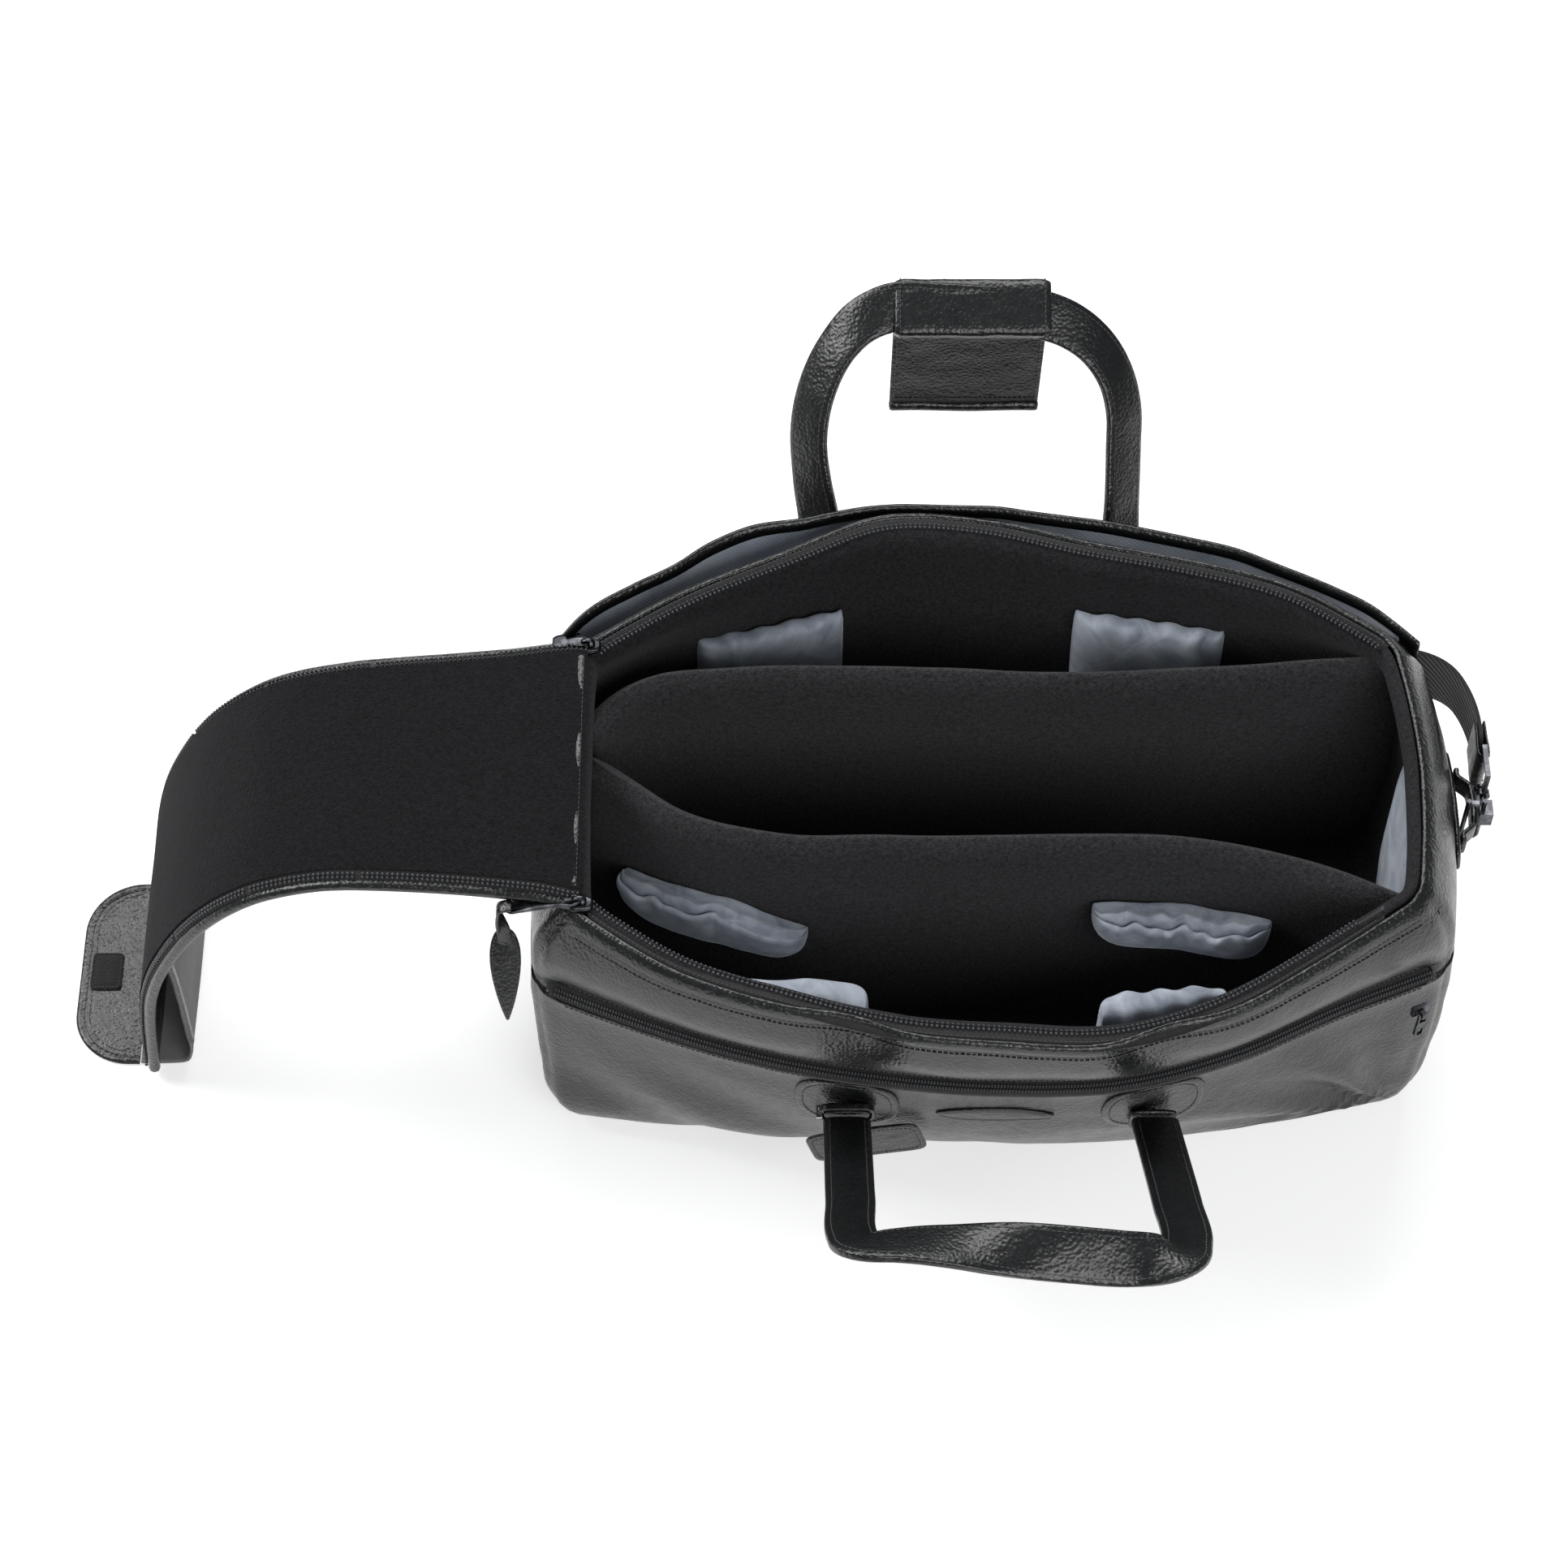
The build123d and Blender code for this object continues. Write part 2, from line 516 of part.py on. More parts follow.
def anchor_patches(side):
    """The two rounded leather patches of a handle, each with the sewn end of the strap on it."""
    centre = FRONT_HANDLE_X if side == FRONT else REAR_HANDLE_X
    pivot = FRONT_ANCHOR_Y if side == FRONT else REAR_ANCHOR_Y
    levels, skin = anchor_skin(side)
    out = skin + 0.3
    low, high = ANCHOR_HEIGHT - 50, ANCHOR_HEIGHT + 50
    sheet = wall(side, (-out - ANCHOR_PATCH, -out), low, high, levels)
    inside = wall(side, (-out - 0.5, 60), low, high, levels)
    end_face = side * (abs(pivot) - STRAP_THICKNESS / 2 - PIVOT_GAP)
    patches = []
    for x in (centre - HANDLE_SPACING / 2, centre + HANDLE_SPACING / 2):
        disc = Pos(x, 0, ANCHOR_HEIGHT) * Rot(90, 0, 0)
        disc *= extrude(Ellipse(ANCHOR_PATCH_WIDTH / 2, ANCHOR_PATCH_HEIGHT / 2), 300, both=True)
        stub = block(x - STRAP_WIDTH / 2, x + STRAP_WIDTH / 2, end_face, side * 140,
                     ANCHOR_HEIGHT - STUB_HEIGHT / 2, ANCHOR_HEIGHT + STUB_HEIGHT / 2)
        patches.append((sheet & disc) + (stub - inside))
    return Compound(children=patches)


def handle_wrap():
    """Leather sleeve sewn round the grip of the back handle."""
    sleeve = Pos(0, REAR_REACH - GRIP_WIDTH / 2, 0)
    thick = STRAP_THICKNESS + 0.6
    outer = Box(WRAP_LENGTH, GRIP_WIDTH + 0.6 + 2 * WRAP_SLEEVE, thick + 2 * WRAP_SLEEVE)
    hole = Box(WRAP_LENGTH + 2, GRIP_WIDTH + 0.6, thick)
    return handle_at(REAR, sleeve * (outer - hole))


def wrap_pivot():
    """Where the flap of the wrap hangs: under the outer edge of the sleeve."""
    angle = math.radians(REAR_HANDLE_ANGLE)
    along, across = REAR_REACH - GRIP_WIDTH / 2, STRAP_THICKNESS / 2 + 0.3 + WRAP_SLEEVE + 2.4
    y = REAR_ANCHOR_Y + along * math.cos(angle) + across * math.sin(angle)
    z = ANCHOR_HEIGHT + along * math.sin(angle) - across * math.cos(angle)
    return y, z


def wrap_flap():
    """Flap that folds over both grips, hanging down free with a padded ridge and rolled lip."""
    y, z = wrap_pivot()
    sheet = block(-WRAP_LENGTH / 2, WRAP_LENGTH / 2, y - 1.5, y + 1.5, z - WRAP_DROP, z)
    lip = Pos(0, y, z - WRAP_DROP) * Rot(0, 90, 0) * Cylinder(4.0, WRAP_LENGTH)
    root = Pos(0, y, z) * Rot(0, 90, 0) * Cylinder(1.5, WRAP_LENGTH)
    return Pos(REAR_HANDLE_X, 0, 0) * (sheet + lip + root)


# ---- zip sliders ------------------------------------------------------------------------------
SLIDER_X, SLIDER_Y, SLIDER_Z = 5.0 - RIM_HALF_LENGTH, 93.0, RIM_HEIGHT + 0.5


def mouth_slider(side):
    """Cast body of a mouth slider with the bridge that holds its pull."""
    y = side * SLIDER_Y
    body = block(SLIDER_X - 5, SLIDER_X + 7, y - 5, y + 5, SLIDER_Z, SLIDER_Z + 4)
    bridge = block(SLIDER_X - 5, SLIDER_X + 3, y - 1.5, y + 1.5, SLIDER_Z + 4, SLIDER_Z + 9)
    eye = Pos(SLIDER_X - 1, y, SLIDER_Z + 6.4) * Rot(90, 0, 0) * Cylinder(1.7, 8)
    return body + bridge - eye


PULL_LENGTH, REAR_PULL_LENGTH = 45.0, 22.0
PULL_DROP = 12.0           # degrees that the front pull hangs below the level
LEAF_NECK, LEAF_LENGTH, LEAF_HALF_WIDTH = 28.0, 60.0, 9.0
LEAF_TURN = 30.0           # degrees that its blade stands out towards the front
LEAF_HALF_THICKNESS = 1.5
LEAF_ROOT_GAP = 2.4        # end of the pull to the middle of the leaf's root


def mouth_pull(side, length, drop=0.0):
    """Metal pull: a pin through the bridge, two cheeks and a plate."""
    pin = Rot(90, 0, 0) * Cylinder(1.3, 7.2)
    cheeks = [block(-9, 1.3, s * 2.2, s * 3.6, -1.3, 1.3) for s in (-1, 1)]
    plate = block(-length, -9, -4.5, 4.5, -1.0, 1.0)
    place = Pos(SLIDER_X - 1, side * SLIDER_Y, SLIDER_Z + 6.4)
    return place * Rot(0, -drop, 0) * (plate + pin + cheeks)


def leaf_pivot():
    """Where the leaf is tied to the end of the front pull: X and Z."""
    drop, along = math.radians(PULL_DROP), PULL_LENGTH + LEAF_ROOT_GAP
    return SLIDER_X - 1 - along * math.cos(drop), SLIDER_Z + 6.4 - along * math.sin(drop)


def leaf():
    """Stitched leather leaf on a short strap that hangs from the end of the front pull."""
    x, z = leaf_pivot()
    half = LEAF_HALF_THICKNESS
    root = Rot(90, 0, 0) * Cylinder(half, 8)
    neck = block(-half, half, -4, 4, -LEAF_NECK, 0)
    outline = Polyline((-4, 4), (-LEAF_HALF_WIDTH, -16), (-LEAF_HALF_WIDTH, -34), (0, -LEAF_LENGTH),
                       (LEAF_HALF_WIDTH, -34), (LEAF_HALF_WIDTH, -16), (4, 4), close=True)
    blade = extrude(Plane.XZ * make_face(outline), half, both=True)
    blade = Pos(0, 0, -LEAF_NECK) * Rot(-LEAF_TURN, 0, 0) * blade
    return Pos(x, FRONT * SLIDER_Y, z) * (root + neck + blade)


POCKET_SLIDER_X, POCKET_SLIDER_TRAVEL = ZIP_HALF_LENGTH - 32.0, 40.0


def pocket_slider_place():
    """Middle of the pocket slider and the direction that it slides in, in plan."""
    inset = 0.3 - POCKET_CHAIN_RISE
    x0, x1 = POCKET_SLIDER_X, POCKET_SLIDER_X - POCKET_SLIDER_TRAVEL
    y0, y1 = -wall_y(ZIP_HEIGHT, x0, inset), -wall_y(ZIP_HEIGHT, x1, inset)
    run = math.hypot(x1 - x0, y1 - y0)
    along = ((x0 - x1) / run, (y0 - y1) / run)
    return x0, y0, along


def at_pocket_slider(shape):
    x, y, along = pocket_slider_place()
    angle = math.degrees(math.atan2(along[1], along[0]))
    return Pos(x, y, ZIP_HEIGHT) * Rot(0, 0, angle) * shape


def pocket_slider():
    body = Pos(0, -2.15, 0) * Box(11, 3.1, 8)
    bridge = Pos(0, -6.2, 0) * Box(3, 4.2, 5)
    eye = Pos(0, -6.4, 0) * Rot(0, 90, 0) * Cylinder(1.2, 5)
    return at_pocket_slider(body + bridge - eye)


def pocket_pull():
    """Small pull tab with a ring end, hanging down from its slider."""
    pin = Pos(0, -6.4, 0) * Rot(0, 90, 0) * Cylinder(0.9, 6.4)
    cheeks = [Pos(s * 2.6, -6.4, -4) * Box(1.2, 1.8, 9.8) for s in (-1, 1)]
    outline = Pos(0, -16) * RectangleRounded(7, 17, 3.2)
    hole = Pos(0, -19) * RectangleRounded(3.6, 8, 1.7)
    tab = Pos(0, -5.5, 0) * extrude(Plane.XZ * (outline - hole), 1.8)
    return at_pocket_slider(pin + cheeks + tab)


# ---- ends and shoulder strap ------------------------------------------------------------------
def end_tab(side):
    """Leather patch on an end with a standing loop for the strap hook."""
    face = ZIP_HALF_LENGTH + 0.4
    low, high = END_TAB_HEIGHT - TAB_HALF_HEIGHT, END_TAB_HEIGHT + TAB_HALF_HEIGHT
    base = face + TAB_LEATHER
    patch = block(side * face, side * base, *END_TAB_SPAN, low - 4, high + 4)
    loop = block(side * base, side * (base + TAB_LOOP_REACH), *TAB_LOOP_SPAN, low, high)
    room = block(side * base, side * (base + TAB_ROOM), *TAB_ROOM_SPAN, low - 1, high + 1)
    return patch + (loop - room)


def hook_legs():
    """X of the hook's two legs: one inside the leather loop and one outside it."""
    face = ZIP_HALF_LENGTH + 0.4
    return face + 5.2, face + 15.0


def snap_hook(side):
    """Bent wire hook round the end loop, with its collar and swivel post."""
    inner, outer = hook_legs()
    low, radius = END_TAB_HEIGHT - HOOK_DROP, HOOK_WIRE / 2
    legs = [Pos(x, HOOK_Y, low + HOOK_HEIGHT / 2) * Cylinder(radius, HOOK_HEIGHT)
            for x in (inner, outer)]
    ring = Pos((inner + outer) / 2, HOOK_Y, low) * Rot(90, 0, 0) * Torus((outer - inner) / 2, radius)
    bend = ring - block(inner - 5, outer + 5, HOOK_Y - 5, HOOK_Y + 5, low, low + 20)
    z = END_TAB_HEIGHT
    collar = block(outer - 2.2, outer + 6, HOOK_Y - 5, HOOK_Y + 6, z, z + 12)
    post = Pos(outer + 2, HOOK_Y + 12, z + 6) * Rot(90, 0, 0) * Cylinder(2.0, 12)
    head = Pos(outer + 2, HOOK_Y + 19, z + 6) * Rot(90, 0, 0) * Cylinder(3.4, 2)
    whole = bend + legs + collar + post + head
    return whole if side == RIGHT else mirror(whole, Plane.YZ)


def gate_place():
    """X of the gate's pivot and of its free end, and its height."""
    inner, outer = hook_legs()
    radius = HOOK_WIRE / 2
    return outer - radius - 0.4 - GATE / 2, inner + radius + 0.4, END_TAB_HEIGHT - HOOK_DROP + HOOK_HEIGHT - 3


def hook_gate(side):
    """Spring gate that closes the top of the hook."""
    pivot_x, free_x, z = gate_place()
    bar = block(free_x, pivot_x, HOOK_Y - GATE / 2, HOOK_Y + GATE / 2, z - GATE / 2, z + GATE / 2)
    pivot = Pos(pivot_x, HOOK_Y, z) * Rot(90, 0, 0) * Cylinder(GATE / 2, GATE)
    whole = bar + pivot
    return whole if side == RIGHT else mirror(whole, Plane.YZ)


def strap_frame(side):
    """Rectangular wire frame at the end of the strap, turning on the hook's swivel post."""
    face = ZIP_HALF_LENGTH + 0.4
    x, y, z = face + 17.0, HOOK_Y + SWIVEL_LENGTH, END_TAB_HEIGHT + 6
    nut = Pos(x, y, z) * Rot(90, 0, 0) * (Cylinder(4.2, 4) - Cylinder(2.3, 5))
    half, depth, wire = SHOULDER_STRAP_WIDTH / 2 + 2, FRAME_DEPTH, FRAME_WIRE / 2
    bars = [
        block(x - wire, x + wire, y - wire, y + wire, z + 3.6, z + half + wire),
        block(x - wire, x + wire, y - wire, y + wire, z - half - wire, z - 3.6),
        block(x - wire, x + wire, y + wire, y + depth, z + half - wire, z + half + wire),
        block(x - wire, x + wire, y + wire, y + depth, z - half - wire, z - half + wire),
        block(x - wire, x + wire, y + depth - FRAME_WIRE, y + depth, z - half, z + half),
    ]
    whole = nut + bars
    return whole if side == RIGHT else mirror(whole, Plane.YZ)


def strap_heights():
    z = END_TAB_HEIGHT + 6
    return z - SHOULDER_STRAP_WIDTH / 2, z + SHOULDER_STRAP_WIDTH / 2


def shoulder_strap():
    """Webbing strap from hook to hook: it drops behind the bag and lies on the floor there."""
    half, depth, top = STRAP_PLAN_HALF_LENGTH, STRAP_PLAN_DEPTH, SHOULDER_STRAP_WIDTH
    start = HOOK_Y + SWIVEL_LENGTH + FRAME_DEPTH + 6
    end = ZIP_HALF_LENGTH
    right = ((half, start), (half, 66), (end + 10, 99), (end - 18, 141), (end - 92, 201), (end - 180, depth))
    left = ((60 - half, depth), (10 - half, 190), (-half, 140), (-half, start))
    ribbon = extrude(trace(Polyline(*right, *left), SHOULDER_STRAP_THICKNESS), 260)
    low, high = strap_heights()
    drop = Polyline(
        (start, low), (100, 0), (400, 0), (400, top), (122, top), (62, high), (start, high), close=True,
    )
    left_side = Pos(-half - 5, 0, 0) * extrude(Plane.YZ * make_face(drop), half)
    fall = Polyline(
        (-10, 0), (end - 150, 0), (end - 90, 40), (end - 22, 122), (end + 2, low), (half + 5, low),
        (half + 5, high), (end + 2, high), (end - 30, 158), (end - 100, 82), (end - 165, top), (-10, top),
        close=True,
    )
    right_side = Pos(0, 400, 0) * extrude(Plane.XZ * make_face(fall), 400 - start)
    return ribbon & (left_side + right_side)


def strap_end(side):
    """Leather end of the shoulder strap, folded round the frame."""
    face = ZIP_HALF_LENGTH + 0.4
    x, z = face + 17.0, END_TAB_HEIGHT + 6
    start = HOOK_Y + SWIVEL_LENGTH + FRAME_DEPTH
    half = SHOULDER_STRAP_WIDTH / 2 - 0.6
    fold = block(x - 4.2, x + 4.2, start - 6.6, start + 5.4, z - half, z + half)
    fold -= block(x - 1.8, x + 1.8, start - 3.4, start + 0.4, z - half - 1, z + half + 1)
    whole = fold
    return whole if side == RIGHT else mirror(whole, Plane.YZ)


# ---- luggage tag ------------------------------------------------------------------------------
TAG_X = -HANDLE_SPACING / 2
TAG_STRAP, TAG_STRAP_WIDTH = 2.0, 4.0
TAG_STRAP_Y = FRONT_ANCHOR_Y + STRAP_THICKNESS / 2 + PIVOT_GAP + 0.4 + TAG_STRAP_WIDTH / 2
TAG_PIVOT_HEIGHT = ANCHOR_HEIGHT - STUB_HEIGHT / 2 - TAG_STRAP - 2.2
TAG_TILT = 15.0            # degrees, right end up
TAG_ALIGN = (Align.CENTER, Align.CENTER, Align.MAX)


def tag_strap():
    """Leather strap of the luggage tag, looped round the sewn end of the front left leg."""
    half, rise = STRAP_WIDTH / 2 + 0.4, STUB_HEIGHT / 2 + 0.4
    loop = Box(2 * (half + TAG_STRAP), TAG_STRAP_WIDTH, 2 * (rise + TAG_STRAP))
    loop -= Box(2 * half, 2 * TAG_STRAP_WIDTH, 2 * rise)
    return Pos(TAG_X, TAG_STRAP_Y, ANCHOR_HEIGHT) * loop


def tag_buckle():
    """Small wire buckle round the tag strap, at its outer side."""
    x = TAG_X - STRAP_WIDTH / 2 - 0.4 - TAG_STRAP / 2
    ring = Box(5.2, TAG_STRAP_WIDTH + 4.4, 1.6) - Box(TAG_STRAP + 0.6, TAG_STRAP_WIDTH + 0.6, 3)
    ring -= Pos(TAG_STRAP, 0, 0) * Box(TAG_STRAP, 12, 3)
    return Pos(x, TAG_STRAP_Y, ANCHOR_HEIGHT + 1) * ring


def luggage_tag():
    """Stitched leather tag, hanging a little askew under the strap."""
    x0, x1 = 2, 14
    root = Pos((x0 + x1) / 2, 0, 0) * Rot(0, 90, 0) * Cylinder(1.5, x1 - x0)
    neck = block(x0, x1, -1.5, 1.5, -14, 0)
    card = Pos((x0 + x1) / 2, 0, -12) * Rot(0, -TAG_TILT, 0) * Box(72, 3, 35, align=TAG_ALIGN)
    return Pos(TAG_X, TAG_STRAP_Y, TAG_PIVOT_HEIGHT) * (root + neck + card)


# ---- write ------------------------------------------------------------------------------------
def both(make, *sides):
    """One node of two like pieces."""
    return Compound(children=[make(side) for side in sides])


def mouth_zip(side):
    return Compound(children=[mouth_tape(side), mouth_chain(side)])


def pocket_zip():
    return Compound(children=[pocket_zip_tape(), pocket_zip_chain()])


def wall_pads():
    pads = [rear_pad(*span) for span in BACK_PADS] + [front_wall_pad(*span) for span in FRONT_PADS]
    return Compound(children=pads)


def parts():
    yield "base_panel", base_panel()
    yield "base_board", base_board()
    yield "floor_lining", floor_lining()
    yield "front_wall", front_wall()
    yield "front_band", front_band()
    yield "front_pocket_panel", front_pocket_panel()
    yield "rear_wall", rear_wall()
    yield "slip_pocket_panel", slip_pocket_panel()
    for name, side in (("left", LEFT), ("right", RIGHT)):
        yield f"{name}_end", end_wall(side, OUTER_SKIN, WALL_BOTTOM, RIM_HEIGHT)
        yield f"{name}_lining", end_wall(side, END_LINING, FLOOR_TOP + SEAM_GAP, LINING_TOP)
        yield f"{name}_hook", snap_hook(side)
        yield f"{name}_hook_gate", hook_gate(side)
    yield "end_tabs", both(end_tab, LEFT, RIGHT)
    yield "strap_frames", both(strap_frame, LEFT, RIGHT)
    yield "strap_ends", both(strap_end, LEFT, RIGHT)
    yield "shoulder_strap", shoulder_strap()
    yield "front_lining", wall(FRONT, FRONT_LINING, FLOOR_TOP + SEAM_GAP, LINING_TOP)
    yield "rear_lining", wall(REAR, REAR_LINING, FLOOR_TOP + SEAM_GAP, LINING_TOP)
    yield "front_mouth_zip", mouth_zip(FRONT)
    yield "rear_mouth_zip", mouth_zip(REAR)
    yield "mouth_sliders", both(mouth_slider, FRONT, REAR)
    yield "front_pull", mouth_pull(FRONT, PULL_LENGTH, PULL_DROP)
    yield "rear_pull", mouth_pull(REAR, REAR_PULL_LENGTH)
    yield "pull_leaf", leaf()
    yield "pocket_zip", pocket_zip()
    yield "pocket_slider", pocket_slider()
    yield "pocket_pull", pocket_pull()
    yield "rear_divider", rear_divider()
    yield "front_divider", front_divider()
    yield "wall_pads", wall_pads()
    yield "divider_pouches", Compound(children=[left_pouch(), right_pouch()])
    yield "end_pads", Compound(children=[bell_pad(), end_pad()])
    yield "lid_fold", lid_fold()
    for index in range(len(LID_LENGTHS)):
        yield f"lid_skin_{index + 1}", lid_skin(index)
        yield f"lid_lining_{index + 1}", lid_lining(index)
        yield f"lid_zip_{index + 1}", lid_zip(index)
    yield "end_pocket", end_pocket()
    yield "tongue", tongue()
    yield "tongue_patch", tongue_patch()
    yield "front_handle", handle(FRONT, FRONT_CORNER)
    yield "rear_handle", handle(REAR, REAR_CORNER)
    yield "handle_anchors", both(anchor_patches, FRONT, REAR)
    yield "handle_wrap", handle_wrap()
    yield "wrap_flap", wrap_flap()
    yield "tag_strap", tag_strap()
    yield "tag_buckle", tag_buckle()
    yield "luggage_tag", luggage_tag()


if __name__ == "__main__":
    for node, shape in parts():
        export_step(shape, f"parts/{node}.step")
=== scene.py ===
import bpy
import math
import numpy as np
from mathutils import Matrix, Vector, noise


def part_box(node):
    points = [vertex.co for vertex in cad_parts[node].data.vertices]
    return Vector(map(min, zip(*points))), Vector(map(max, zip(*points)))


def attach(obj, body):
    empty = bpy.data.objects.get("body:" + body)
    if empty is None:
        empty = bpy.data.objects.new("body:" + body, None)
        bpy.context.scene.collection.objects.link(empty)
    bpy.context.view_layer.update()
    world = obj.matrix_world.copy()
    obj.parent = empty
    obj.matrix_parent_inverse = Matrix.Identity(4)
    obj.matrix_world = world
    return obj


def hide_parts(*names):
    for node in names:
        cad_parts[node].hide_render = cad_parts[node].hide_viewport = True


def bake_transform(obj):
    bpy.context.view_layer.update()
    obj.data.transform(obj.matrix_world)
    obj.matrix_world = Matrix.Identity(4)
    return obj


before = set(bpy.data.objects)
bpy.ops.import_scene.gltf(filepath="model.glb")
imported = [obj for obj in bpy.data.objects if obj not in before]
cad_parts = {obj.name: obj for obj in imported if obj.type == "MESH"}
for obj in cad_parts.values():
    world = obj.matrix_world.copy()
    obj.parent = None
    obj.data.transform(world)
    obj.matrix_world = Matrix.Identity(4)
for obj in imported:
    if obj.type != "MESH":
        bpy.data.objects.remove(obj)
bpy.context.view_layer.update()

# ---- camera -----------------------------------------------------------------------------------
# A long lens, high in front of the bag and square to it.
TARGET = Vector((-0.131, -0.007, 0.240))
ELEVATION, DISTANCE = math.radians(57.0), 2.3
camera = bpy.data.objects.new("camera", bpy.data.cameras.new("camera"))
camera.data.sensor_width, camera.data.lens = 36.0, 87.4
camera.location = TARGET + DISTANCE * Vector((0, -math.cos(ELEVATION), math.sin(ELEVATION)))
camera.rotation_euler = (math.pi / 2 - ELEVATION, 0, 0)
bpy.context.collection.objects.link(camera)
bpy.context.scene.camera = camera
bpy.context.scene.view_settings.view_transform = "Standard"


# ---- floor, world and lamps -------------------------------------------------------------------
# A white studio sweep under large soft lamps. It stays white to the eye, and the shadow shows.
def linear(hex_colour):
    """An sRGB hex colour as linear red, green, blue and alpha."""
    values = [int(hex_colour[i:i + 2], 16) / 255 for i in (1, 3, 5)]
    return [v / 12.92 if v <= 0.04045 else ((v + 0.055) / 1.055) ** 2.4 for v in values] + [1.0]


def node(material, kind, settings=None, **links):
    """Adds one shader node. Settings name its properties and sockets, and links name its inputs.
    A ramp's stops are (position, colour) pairs."""
    new = material.node_tree.nodes.new(kind)
    for key, value in (settings or {}).items():
        if key == "stops":
            for stop, (position, colour) in zip(new.color_ramp.elements, value):
                stop.position, stop.color = position, colour
        elif hasattr(new, key):
            setattr(new, key, value)
        else:
            new.inputs[int(key) if key.isdigit() else key].default_value = value
    for key, value in links.items():
        name = key.replace("_", " ")
        socket = new.inputs[int(key[1:])] if key[1:].isdigit() else new.inputs[name]
        material.node_tree.links.new(value, socket)
    return new


def start_material(name):
    material = bpy.data.materials.new(name)
    material.use_nodes = True
    material.node_tree.nodes.clear()
    return material


def finish_material(material, shader):
    out = node(material, "ShaderNodeOutputMaterial")
    material.node_tree.links.new(shader, out.inputs["Surface"])
    return material


sweep_paint = start_material("studio_white")
paper = node(sweep_paint, "ShaderNodeBsdfDiffuse", {"Color": linear("#e9e9e9")})
glow = node(sweep_paint, "ShaderNodeEmission", {"Color": (1, 1, 1, 1), "Strength": 0.5})
seen = node(sweep_paint, "ShaderNodeLightPath")
direct = seen
for ray in ("Is Transmission Ray", "Is Glossy Ray"):
    direct = node(sweep_paint, "ShaderNodeMath", {"operation": "MAXIMUM"},
                  i0=direct.outputs[0], i1=seen.outputs[ray])
nothing = node(sweep_paint, "ShaderNodeEmission", {"Strength": 0.0})
extra = node(sweep_paint, "ShaderNodeMixShader", None,
             i0=direct.outputs[0], i1=nothing.outputs[0], i2=glow.outputs[0])
whole = node(sweep_paint, "ShaderNodeAddShader", None, i0=paper.outputs[0], i1=extra.outputs[0])
finish_material(sweep_paint, whole.outputs[0])

bpy.ops.object.select_all(action="DESELECT")
bpy.ops.mesh.primitive_plane_add(size=14.0, location=(0, 0, -0.0006))
bpy.ops.object.transform_apply(location=True, rotation=True, scale=True)
floor = bpy.context.object
floor.name = "studio_floor"
floor.data.materials.append(sweep_paint)

world = bpy.data.worlds.new("studio")
bpy.context.scene.world = world
world.use_nodes = True
world.node_tree.nodes.clear()
fill = node(world, "ShaderNodeBackground", {"Color": (0.93, 0.96, 1.0, 1), "Strength": 0.2})
white = node(world, "ShaderNodeBackground", {"Color": (1, 1, 1, 1), "Strength": 1.0})
path = node(world, "ShaderNodeLightPath")
mixed = node(world, "ShaderNodeMixShader", None,
             i0=path.outputs["Is Camera Ray"], i1=fill.outputs[0], i2=white.outputs[0])
node(world, "ShaderNodeOutputWorld", None, Surface=mixed.outputs[0])


def soft_lamp(name, place, aim, width, height, watts):
    lamp = bpy.data.lights.new(name, "AREA")
    lamp.shape, lamp.size, lamp.size_y, lamp.energy = "RECTANGLE", width, height, watts
    holder = bpy.data.objects.new(name, lamp)
    holder.location = place
    holder.rotation_euler = (Vector(aim) - Vector(place)).to_track_quat("-Z", "Y").to_euler()
    bpy.context.collection.objects.link(holder)


soft_lamp("lamp_left", (-1.9, 0.7, 2.0), (0, 0, 0.1), 1.5, 1.2, 48)
soft_lamp("lamp_back", (-0.1, 1.7, 2.5), (0, 0, 0.1), 2.2, 1.2, 50)
soft_lamp("lamp_front", (0.7, -1.9, 1.9), (0, 0, 0.1), 2.0, 1.2, 36)


# ---- leather body -----------------------------------------------------------------------------
# The bag's skin: drum-dyed black nappa, about 1 mm, on a backing. Front, back, ends and bottom
# are cut flat, sewn at the four corners and turned, and the open mouth spreads the long walls.
MM = 0.001
FRONT, REAR = -1, 1
# Height, X of the left and right corner, then Y of the front and of the back at nine even
# stations from the left corner to the right one.
BODY_LEVELS = (
    (0, -262, 256, (-104, -111, -114, -115, -116, -116, -112, -105, -94),
     (106, 112, 115, 117, 117, 117, 115, 112, 106)),
    (10, -270, 263, (-108, -117, -122, -124, -125, -125, -120, -111, -97),
     (107, 116, 121, 124, 125, 124, 121, 116, 107)),
    (75, -283, 276, (-108, -130, -146, -156, -160, -158, -146, -124, -97),
     (107, 134, 149, 158, 160, 158, 149, 134, 108)),
    (125, -285, 278, (-106, -133, -153, -165, -170, -168, -152, -123, -94),
     (105, 137, 156, 168, 171, 167, 155, 138, 108)),
    (168, -284, 276, (-103, -133, -156, -170, -176, -174, -155, -121, -92),
     (102, 140, 162, 178, 180, 171, 159, 140, 106)),
    (205, -279, 270, (-100, -139, -163, -179, -184, -185, -165, -128, -90),
     (99, 140, 167, 189, 189, 177, 163, 143, 104)),
    (228, -267, 259, (-98, -141, -164, -181, -187, -189, -170, -132, -89),
     (97, 139, 169, 195, 193, 177, 163, 143, 101)),
    (240, -257, 248, (-97, -140, -163, -181, -187, -189, -170, -132, -88),
     (95, 137, 168, 196, 193, 176, 162, 142, 99)),
)
LEFT_BULGE, RIGHT_BULGE = 2.5, 9.0     # of the two ends, halfway along them
SKIN = 2.0                             # leather with its backing
MOUTH_Z = 240.0                        # the rim
WALL_COUNT, END_COUNT = 150, 56        # points along each wall and each end
